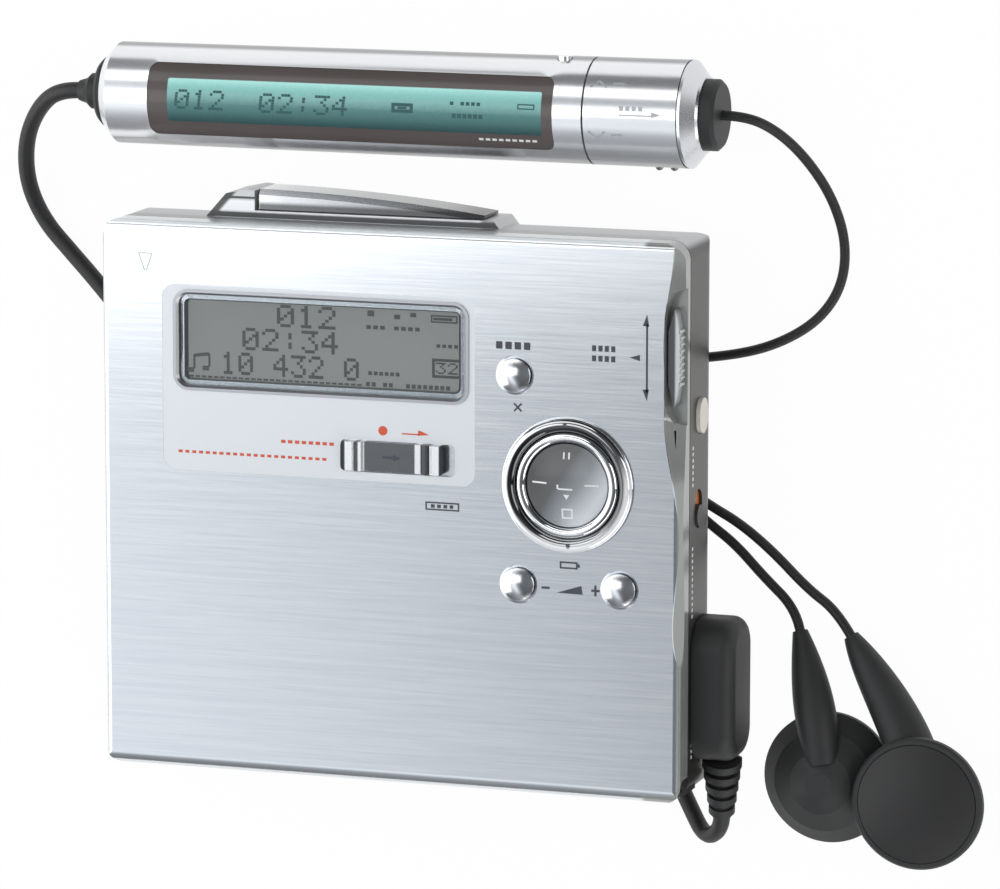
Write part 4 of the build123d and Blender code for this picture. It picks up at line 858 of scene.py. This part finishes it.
@dataclass
class RecordSlider:
    """The record slider's stripes and its arrow."""

    left: float = -6.2
    right: float = 7.8
    grip: float = 19.75

    def skin(self) -> bpy.types.Material:
        """Bright ends with dark stripes across, and a dark grip between them.

        The stripes are steps along x, as shares of the slider's length.
        """
        made = Recipe("slider_stripes")
        x, _, _ = made.axes()
        share = (x - self.left) / (self.right - self.left)
        dark, pale = (0.045, 0.045, 0.05), (0.88, 0.89, 0.90)
        grey = (0.13, 0.135, 0.14)
        edges = [(0.0, dark), (0.035, dark), (0.05, pale), (0.12, pale), (0.135, dark), (0.165, grey), (0.178, pale),
                 (0.215, pale), (0.228, grey), (0.71, grey), (0.722, pale), (0.765, pale), (0.778, dark), (0.80, grey),
                 (0.86, dark), (0.875, pale), (0.955, pale), (0.965, dark)]
        fine = made.noise(900.0, 2.0)
        made.set(Base_Color=share.ramp(*edges), Metallic=0.75, Roughness=0.22 + fine * 0.08)
        return made.material

    def build(self) -> None:
        """Paints the slider and lays a small arrow in its grip."""
        paint_node("rec_slider", self.skin())
        arrow = [wedge((1.9, 6.9), (0.9, 6.9), 0.85), stroke((-0.5, 6.9), (0.9, 6.9), 0.34)]
        printed("slider_arrow", arrow, Shade.MARK, "rec_slider", flat_on(self.grip))


@dataclass
class Control:
    """The ring and the domed pad with its signs."""

    middle: Pair = (24.45, 4.68)
    pad_r: float = 5.4
    pad_rim: float = 19.8
    pad_rise: float = 0.65
    trough: Pair = (6.85, 7.85)
    bead: Pair = (7.7, 8.72)
    ring_top: float = 20.5

    def dome(self, x: np.ndarray, y: np.ndarray, h: np.ndarray) -> np.ndarray:
        """Puts a mark on the pad: a sphere's cap of the pad's radius and rise."""
        r2 = (x - self.middle[0]) ** 2 + (y - self.middle[1]) ** 2
        ball = (self.pad_r ** 2 + self.pad_rise ** 2) / (2 * self.pad_rise)
        return np.stack([x, y, self.pad_rim + self.pad_rise - ball + np.sqrt(ball ** 2 - r2) + h], axis=-1)

    def pad(self) -> bpy.types.Material:
        """Glossy grey with a painted reflection that runs from dark at the upper left to pale at the lower right, as a
        share across the pad.
        """
        made = Recipe("pad_gloss_painted_reflection")
        x, y, _ = made.axes()
        # painted reflection: dark at the upper left, pale at the lower right
        slope = ((x - self.middle[0]) * 0.75 - (y - self.middle[1]) * 0.5) / (2 * self.pad_r) + 0.5
        colour = slope.ramp((0.12, (0.05, 0.05, 0.052)), (0.40, (0.10, 0.102, 0.105)),
                            (0.62, (0.30, 0.32, 0.34)), (0.86, (0.72, 0.76, 0.80)))
        made.set(Base_Color=colour, Metallic=0.25, Roughness=0.24 + made.noise(400.0) * 0.05, Coat_Weight=0.15)
        return made.material

    def ring(self) -> bpy.types.Material:
        """Chrome with painted dark reflections in the trough between the beads and over the outer bead's upper half.

        The masks are bands in r, the distance from the middle; upper is the sine of the angle about it, leaning
        a little to the right; rim is the outer bead's lower right, made less metallic as a painted highlight.
        """
        made = Shade.CHROME.value.recipe()
        x, y, _ = made.axes()
        dx, dy = x - self.middle[0], y - self.middle[1]
        r = (dx * dx + dy * dy) ** 0.5
        upper = (dy + dx * 0.12) / r.at_least(0.1)
        trough = r.above(self.trough[0], 0.12) * r.below(self.trough[1], 0.2)
        inner, outer = self.bead
        cap = r.above(inner, 0.2) * upper.above(0.34, 0.3) * (1.0 - r.above(outer - 0.17, 0.08) * 0.7)
        # painted dark reflections in the trough and over the outer bead's upper half
        shade = (trough * (0.88 - upper.below(-0.75, 0.3) * 0.3) + cap * 0.48).at_most(0.9)
        # painted highlight: the outer bead's lower right mirrors less and shows pale
        rim_painted_highlight = r.above(inner + 0.05, 0.1) * (dx * 0.55 - dy).above(1.2, 2.2) * r.below(outer, 0.05)
        made.set(Base_Color=made.mix((0.92, 0.93, 0.94), (0.018, 0.018, 0.02), shade),
                 Metallic=1.0 - rim_painted_highlight * 0.75)
        return made.material

    def signs(self) -> None:
        """Pause above, a square below, a step at each side and an arrow in the middle."""
        x, y = self.middle
        w = 0.22
        marks = [tile((x - 0.35, y + 3.9), (w, 0.85)), tile((x + 0.35, y + 3.9), (w, 0.85)),
                 stroke((x - 4.6, y + 0.3), (x - 2.6, y + 0.25), w), stroke((x - 1.1, y + 0.15), (x - 1.1, y - 0.4), w),
                 stroke((x - 1.0, y - 0.4), (x + 0.9, y - 0.4), w), stroke((x + 2.5, y + 0.2), (x + 4.3, y + 0.2), w),
                 wedge((x + 0.1, y - 1.75), (x + 0.1, y - 1.1), 0.8)]
        marks += frame_strokes((x + 0.15, y - 3.6), (1.5, 1.35), w)
        printed("pad_signs", marks, Shade.PALE_MARK, "control_pad", self.dome, 0.03)
        dots = [disc((x - 0.1, y + 7.9), 0.28), disc((x + 0.35, y - 7.75), 0.3)]
        printed("ring_dots", dots, Shade.MARK, "lid", flat_on(self.ring_top), 0.06)

    def build(self) -> None:
        """Paints the pad and the ring, and lays the pad's signs."""
        paint_node("control_pad", self.pad())
        paint_node("control_ring", self.ring())
        self.signs()


@dataclass
class Front:
    """The lid's brushed skin, its inset plate and the printed marks."""

    face: float = 19.5
    plate_face: float = 19.47
    band_from: float = 34.5
    lip_from: float = 34.4

    def skin(self) -> bpy.types.Material:
        """The brushed lid; its swept band on the right is painted darker as painted shade and its upper lip is painted
        paler and less metallic as a painted highlight.
        """
        made = Shade.LID.value.recipe()
        x, y, z = made.axes()
        fall = z.below(self.face - 0.12, 0.06)
        # painted shade on the swept band at the right
        band = fall * x.above(self.band_from, 0.5)
        # painted highlight on the upper lip
        lip = fall * y.above(self.lip_from, 0.3) * (1.0 - band)
        tone = made.mix(made.base(), (0.34, 0.35, 0.34), band)
        made.set(Base_Color=made.mix(tone, (0.88, 0.92, 0.94), lip), Metallic=0.92 - band * 0.55 - lip * 0.77)
        return made.material

    def marks(self) -> None:
        """The arrows, signs and dashes printed on the lid."""
        grey = [stroke((34.93, 17.2), (34.93, 26.0), 0.26), wedge((34.93, 27.2), (34.78, 25.7), 0.85),
                wedge((34.93, 16.1), (34.78, 17.6), 0.85), wedge((32.6, 21.6), (34.0, 21.6), 0.8)]
        grey += [tile((21.5, -8.85), (1.1, 0.3)), tile((28.2, -8.85), (1.1, 0.3)),
                 tile((28.2, -8.42), (0.3, 0.54)), tile((28.2, -9.28), (0.3, 0.54))]
        grey += [wedge((23.0, -9.4), (26.4, -8.9), 1.15)]
        grey += row(15.2, 22.35, 1.25, (0.85, 0.95), range(4))
        grey += [stroke((17.2, 13.9), (18.2, 14.9), 0.24), stroke((17.2, 14.9), (17.62, 14.48), 0.24),
                 stroke((17.78, 14.32), (18.2, 13.9), 0.24)]
        grey += [tile((27.9 + k * 0.85, y), (0.55, 0.75)) for k in range(4) for y in (21.25, 22.55)]
        grey += frame_strokes((24.6, -5.75), (2.4, 0.95), 0.22) + [tile((25.95, -5.75), (0.25, 0.45))]
        grey += frame_strokes((7.5, 0.9), (4.6, 1.1), 0.2) + row(6.2, 0.9, 0.85, (0.5, 0.45), range(4))
        printed("grey_marks", grey, Shade.MARK, "lid", flat_on(self.face))
        faint = [stroke((-34.3, 32.0), (-32.3, 32.0), 0.14), stroke((-32.4, 31.9), (-33.2, 29.7), 0.14),
                 stroke((-34.2, 31.9), (-33.4, 29.7), 0.14)]
        printed("faint_mark", faint, Shade.ETCHED, "lid", flat_on(self.face), 0.01)
        red = [stroke((2.0, 10.1), (4.3, 10.1), 0.17), wedge((5.7, 10.12), (4.2, 10.32), 0.75)]
        red += row(-28.6, 6.15, 0.95, (0.55, 0.36), range(22)) + row(-14.3, 8.2, 0.95, (0.6, 0.42), range(8))
        on_plate = flat_on(self.plate_face)
        printed("red_marks", red, Shade.RED_MARK, "lid", on_plate)
        printed("record_dot", [disc((-0.6, 10.35), 0.62, 28)], Shade.RED_MARK, "lid", on_plate)

    def build(self) -> None:
        """Paints the skin and lays the marks on it."""
        paint_node("lid_panel", self.skin())
        self.marks()


# ---- remote
@dataclass
class Remote:
    """The stick remote's window, its figures and the knob's etched signs."""

    axis_y: float = 51.7
    axis_z: float = 9.4
    left: float = -41.6
    right: float = 37.5
    r_left: float = 6.65
    r_right: float = 6.95
    lcd: Triple = (-31.5, 19.6, 5.6)  # left, right and depth
    cells: float = 2.4  # in a millimetre

    def round_it(self, inset: float) -> PlaceOn:
        """Puts marks on the body: y becomes an arc length round the tapered cylinder."""

        def place(x: np.ndarray, s: np.ndarray, h: np.ndarray) -> np.ndarray:
            """Turns x, arc length and height into a point; the radius grows evenly with x."""
            share = (x - self.left) / (self.right - self.left)
            r = self.r_left + (self.r_right - self.r_left) * share - inset
            turn = s / r
            return np.stack([x, self.axis_y + (r + h) * np.sin(turn), self.axis_z + (r + h) * np.cos(turn)], axis=-1)

        return place

    def window(self) -> bpy.types.Material:
        """Smoked brown-grey, with the teal display showing through its middle, painted pale at its top and dark at its
        bottom as a painted reflection.
        """
        made = Recipe("remote_smoked")
        x, y, _ = made.axes()
        x0, x1, deep = self.lcd
        edge = made.oblong(x, y, ((x0 + x1) / 2, self.axis_y), (x1 - x0, deep), 0.25)
        lit = edge.below(0.0, 0.07)
        down = ((self.axis_y + deep / 2) - y) / deep
        cells = made.grain(even(1 / self.cells), 1.0)
        # painted reflection: the display's own teal runs from pale at its top to dark at its bottom
        glow = (down * 0.94 + cells * 0.06).ramp((0.0, (0.44, 0.84, 0.79)), (0.2, (0.26, 0.58, 0.54)),
                                                 (0.55, (0.066, 0.20, 0.195)), (1.0, (0.018, 0.052, 0.056)))
        smoke = made.mix((0.075, 0.062, 0.058), (0.095, 0.082, 0.078), made.noise(90.0))
        made.set(Base_Color=made.mix(smoke, glow, lit), Roughness=0.32 - lit * 0.04, Coat_Weight=0.25 + lit * 0.05,
                 Specular_IOR_Level=0.4)
        return made.material

    def skin(self) -> bpy.types.Material:
        """Bright metal with painted shade along the cylinder's two flanks."""
        made = Shade.REMOTE.value.recipe()
        x, y, _ = made.axes()
        taper = (self.r_right - self.r_left) / (self.right - self.left)
        across = (y - self.axis_y) / ((x - self.left) * taper + self.r_left)
        # painted shade: the cylinder's two flanks are painted dark
        flank_painted_shade = across.above(0.955, 0.03) * 0.75 + across.below(-0.84, 0.14) * 0.8
        made.set(Base_Color=made.mix(made.base(), (0.10, 0.102, 0.106), flank_painted_shade))
        return made.material

    def figures(self) -> None:
        """Digits, a hollow box and small signs on the display."""
        on = self.round_it(0.1)
        marks = digit_tiles("012", (-30.3, 1.45), (0.40, 0.37), 0.9, 0.12)
        marks += digit_tiles("02:34", (-18.6, 1.35), (0.42, 0.37), 0.9, 0.12)
        marks += frame_strokes((0.9, 0.15), (2.9, 1.25), 0.42) + [tile((0.9, 0.15), (1.2, 0.3))]
        marks += row(7.6, 1.0, 0.72, (0.48, 0.45), (0, 2, 3, 4, 5)) + row(7.9, -0.6, 0.72, (0.5, 0.55), range(6))
        marks += frame_strokes((17.6, 0.9), (2.3, 0.7), 0.16)
        printed("remote_figures", marks, Shade.TEAL_SEGMENT, "rear_case", on, 0.02)
        pale = row(11.3, -3.75, 0.9, (0.6, 0.34), range(9))
        printed("remote_pale_signs", pale, Shade.PALE_MARK, "rear_case", on, 0.02)

    def knob_signs(self) -> None:
        """Etched arrows, dashes and an arc line on the knob."""
        on = self.round_it(0.0)
        marks = bends(0.3, (25.9, 3.9), (27.0, 4.8), (28.1, 3.9)) + bends(0.3, (28.9, 4.5), (30.4, 4.5))
        marks += bends(0.3, (25.9, -1.9), (27.0, -2.8), (28.1, -1.9)) + bends(0.3, (28.9, -2.3), (30.4, -2.3))
        marks += bends(0.14, (25.8, 3.2), (25.8, -1.2))
        marks += row(30.3, 1.2, 0.85, (0.55, 0.6), range(4)) + [stroke((30.0, 0.35), (34.4, 0.35), 0.2)]
        marks += [wedge((35.6, 0.5), (34.3, 0.5), 0.8)]
        printed("knob_signs", marks, Shade.ETCHED, "remote_knob", on, 0.015)

    def build(self) -> None:
        """Paints the body and the window and lays every mark."""
        paint_node("remote_window", self.window())
        body = self.skin()
        for node in ("remote_front_shell", "remote_back_shell", "remote_knob"):
            paint_node(node, body)
        self.figures()
        self.knob_signs()


# ---- rear case
@dataclass
class Edge:
    """The case's opening edge: its wall painted pale as a painted highlight, the hump's outline of painted shade and
    the opener's painted shading.
    """

    wall: float = 36.3
    front: float = 12.9
    left: float = -27.7
    foot: Pair = (0.05, 0.74)
    brow: Pair = (2.5, 2.8)
    opener: Pair = (-20.2, 10.6)

    def shell(self) -> bpy.types.Material:
        """The case's dark metal, painted pale on the opening edge as a painted highlight and dark along the hump's
        foot, slope and right end as painted shade.

        The masks are bands in rise, the distance past the wall, and in slope, the distance from the hump's
        slanting left side.
        """
        made = Shade.REAR.value.recipe()
        x, y, z = made.axes()
        rise = y - self.wall
        slope = (x - self.left) * 0.74 - rise * 0.67
        foot = rise.above(self.foot[0], 0.08) * rise.below(self.foot[1], 0.12) + slope.below(1.15, 0.25)
        front = z.above(self.front, 0.1)
        brow = rise.above(self.brow[0], 0.08) * rise.below(self.brow[1], 0.08)
        tail = x.above(self.opener[1], 0.4) * rise.below(2.2, 0.3) * 0.7
        # painted shade: a dark outline along the hump's foot, brow, slanting side and right end
        outline_painted_shade = (foot + brow + tail).at_most(1.0) * front * rise.above(0.02, 0.06)
        # painted highlight: the opening edge's wall painted pale, palest in a band along its front
        pale = made.mix((0.54, 0.55, 0.56), (0.80, 0.81, 0.82), rise.above(0.9, 0.2) * rise.below(2.3, 0.15) * front)
        wall = made.mix(made.base(), pale, rise.above(-0.9, 0.5))
        made.set(Base_Color=made.mix(wall, (0.035, 0.036, 0.038), outline_painted_shade * 0.9))
        return made.material

    def slide(self) -> bpy.types.Material:
        """Bright metal with painted shade that darkens it to the right, and a dark painted shadow line along the foot
        of its front face.
        """
        made = Recipe("opener_metal")
        x, y, _ = made.axes()
        share = (x - self.opener[0]) / (self.opener[1] - self.opener[0])
        # painted shade: pale at the left end, darker to the right
        tone = share.ramp((0.0, (0.80, 0.81, 0.82)), (0.12, (0.62, 0.63, 0.64)), (0.45, (0.42, 0.43, 0.44)),
                          (0.75, (0.34, 0.345, 0.35)), (1.0, (0.26, 0.26, 0.265)))
        # painted shadow: a dark line along the foot of the front face
        line = (y - self.wall).below(1.95, 0.35) * x.above(self.opener[0], 0.3)
        fine = made.grain((6.0, 0.15, 0.15), 2.0)
        made.set(Base_Color=made.mix(tone, (0.06, 0.06, 0.062), line * 0.85), Metallic=0.9,
                 Roughness=0.24 + fine * 0.06)
        return made.material

    def build(self) -> None:
        """Paints the shell and the opener."""
        paint_node("rear_shell", self.shell())
        paint_node("open_slider", self.slide())


@dataclass
class Side:
    """The right side wall: the lock's coloured patch and its row of small printed dashes."""

    wall: float = 39.5
    recess: float = 39.0
    lock: Pair = (1.15, 11.5)
    lock_size: Pair = (5.1, 3.2)
    dash_z: float = 14.1
    ribs_from: float = 38.45

    def on_wall(self, x0: float) -> PlaceOn:
        """Puts marks on an upright wall that faces +X, at x0."""
        return lambda y, z, h: np.stack([x0 + h, y, z], axis=-1)

    def lever(self) -> bpy.types.Material:
        """The jog lever: dark along its inner half as a painted shadow, pale metal along its ribbed outer half."""
        made = Recipe("jog_metal")
        x, _, _ = made.axes()
        outer = x.above(self.ribs_from, 0.18)
        fine = made.noise(1500.0, 2.0)
        # painted shadow on the inner half; the outer half is pale metal
        made.set(Base_Color=made.mix((0.075, 0.08, 0.083), (0.58, 0.59, 0.59), outer),
                 Metallic=0.25 + outer * 0.45, Roughness=0.34 + fine * 0.08, Normal=made.bump(fine, 0.1, 0.005))
        return made.material

    def build(self) -> None:
        """Paints the lever, and lays the patch in the lock's recess and the dashes along the wall."""
        paint_node("jog_lever", self.lever())
        patch = rounded(self.lock, self.lock_size, self.lock_size[1] / 2 - 0.01)
        printed("lock_patch", [patch], Shade.ORANGE, "rear_case", self.on_wall(self.recess), 0.08)
        y = np.concatenate([np.arange(-31.0, -24.5, 0.8), np.arange(-12.5, -3.0, 0.8), np.arange(4.6, 10.2, 0.8)])
        dashes = [tile((float(a), self.dash_z), (0.45, 0.5)) for a in y]
        printed("side_dashes", dashes, Shade.PALE_MARK, "rear_case", self.on_wall(self.wall), 0.02)


# nodes of one plain finish; the sub-assemblies paint the rest
PLAIN: dict[Shade, tuple[str, ...]] = {
    Shade.PLATE: ("display_plate",),
    Shade.BUTTON: ("group_button", "volume_down_button", "volume_up_button"),
    Shade.SATIN: ("remote_ring",),
    Shade.REAR: ("battery_door",),
    Shade.DARK: ("lid_frame", "jacks", "hold_slider", "optical_pickup"),
    Shade.STEEL: ("chassis_plate", "spindle_motor", "case_screws", "hinge_pins", "disc_holder", "magnetic_head",
                  "remote_clip", "turntable", "sled_motor", "battery_contacts"),
    Shade.BRIGHT_STEEL: ("guide_rods", "lead_screw"),
    Shade.CELL: ("battery_cell",),
    Shade.CREAM: ("side_button",),
    Shade.REMOTE: ("remote_button",),
    Shade.TEAL_SEGMENT: ("remote_display",),
    Shade.MOULDED: ("lead_boot", "remote_plug", "earphone_plug", "cord_splitter", "earbud_housing_left",
                    "earbud_housing_right", "earbud_drivers", "remote_socket"),
    Shade.GRILLE: ("earbud_faces",),
    Shade.BEZEL: ("display_bezel",),
    Shade.BOARD: ("main_board", "button_board"),
}


def main() -> None:
    """Loads the frame, paints the plain nodes and builds each sub-assembly."""
    logging.basicConfig(level=logging.INFO, format="%(name)s: %(message)s")
    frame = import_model()
    NODES.update(frame["nodes"])
    PLACE.measure()
    for shade, nodes in PLAIN.items():
        for node in nodes:
            paint_node(node, Paint.of(shade))
    for assembly in (Studio(), Leads(), Display(), RecordSlider(), Control(), Front(), Remote(), Edge(), Side()):
        assembly.build()


if __name__ == "__main__":
    main()
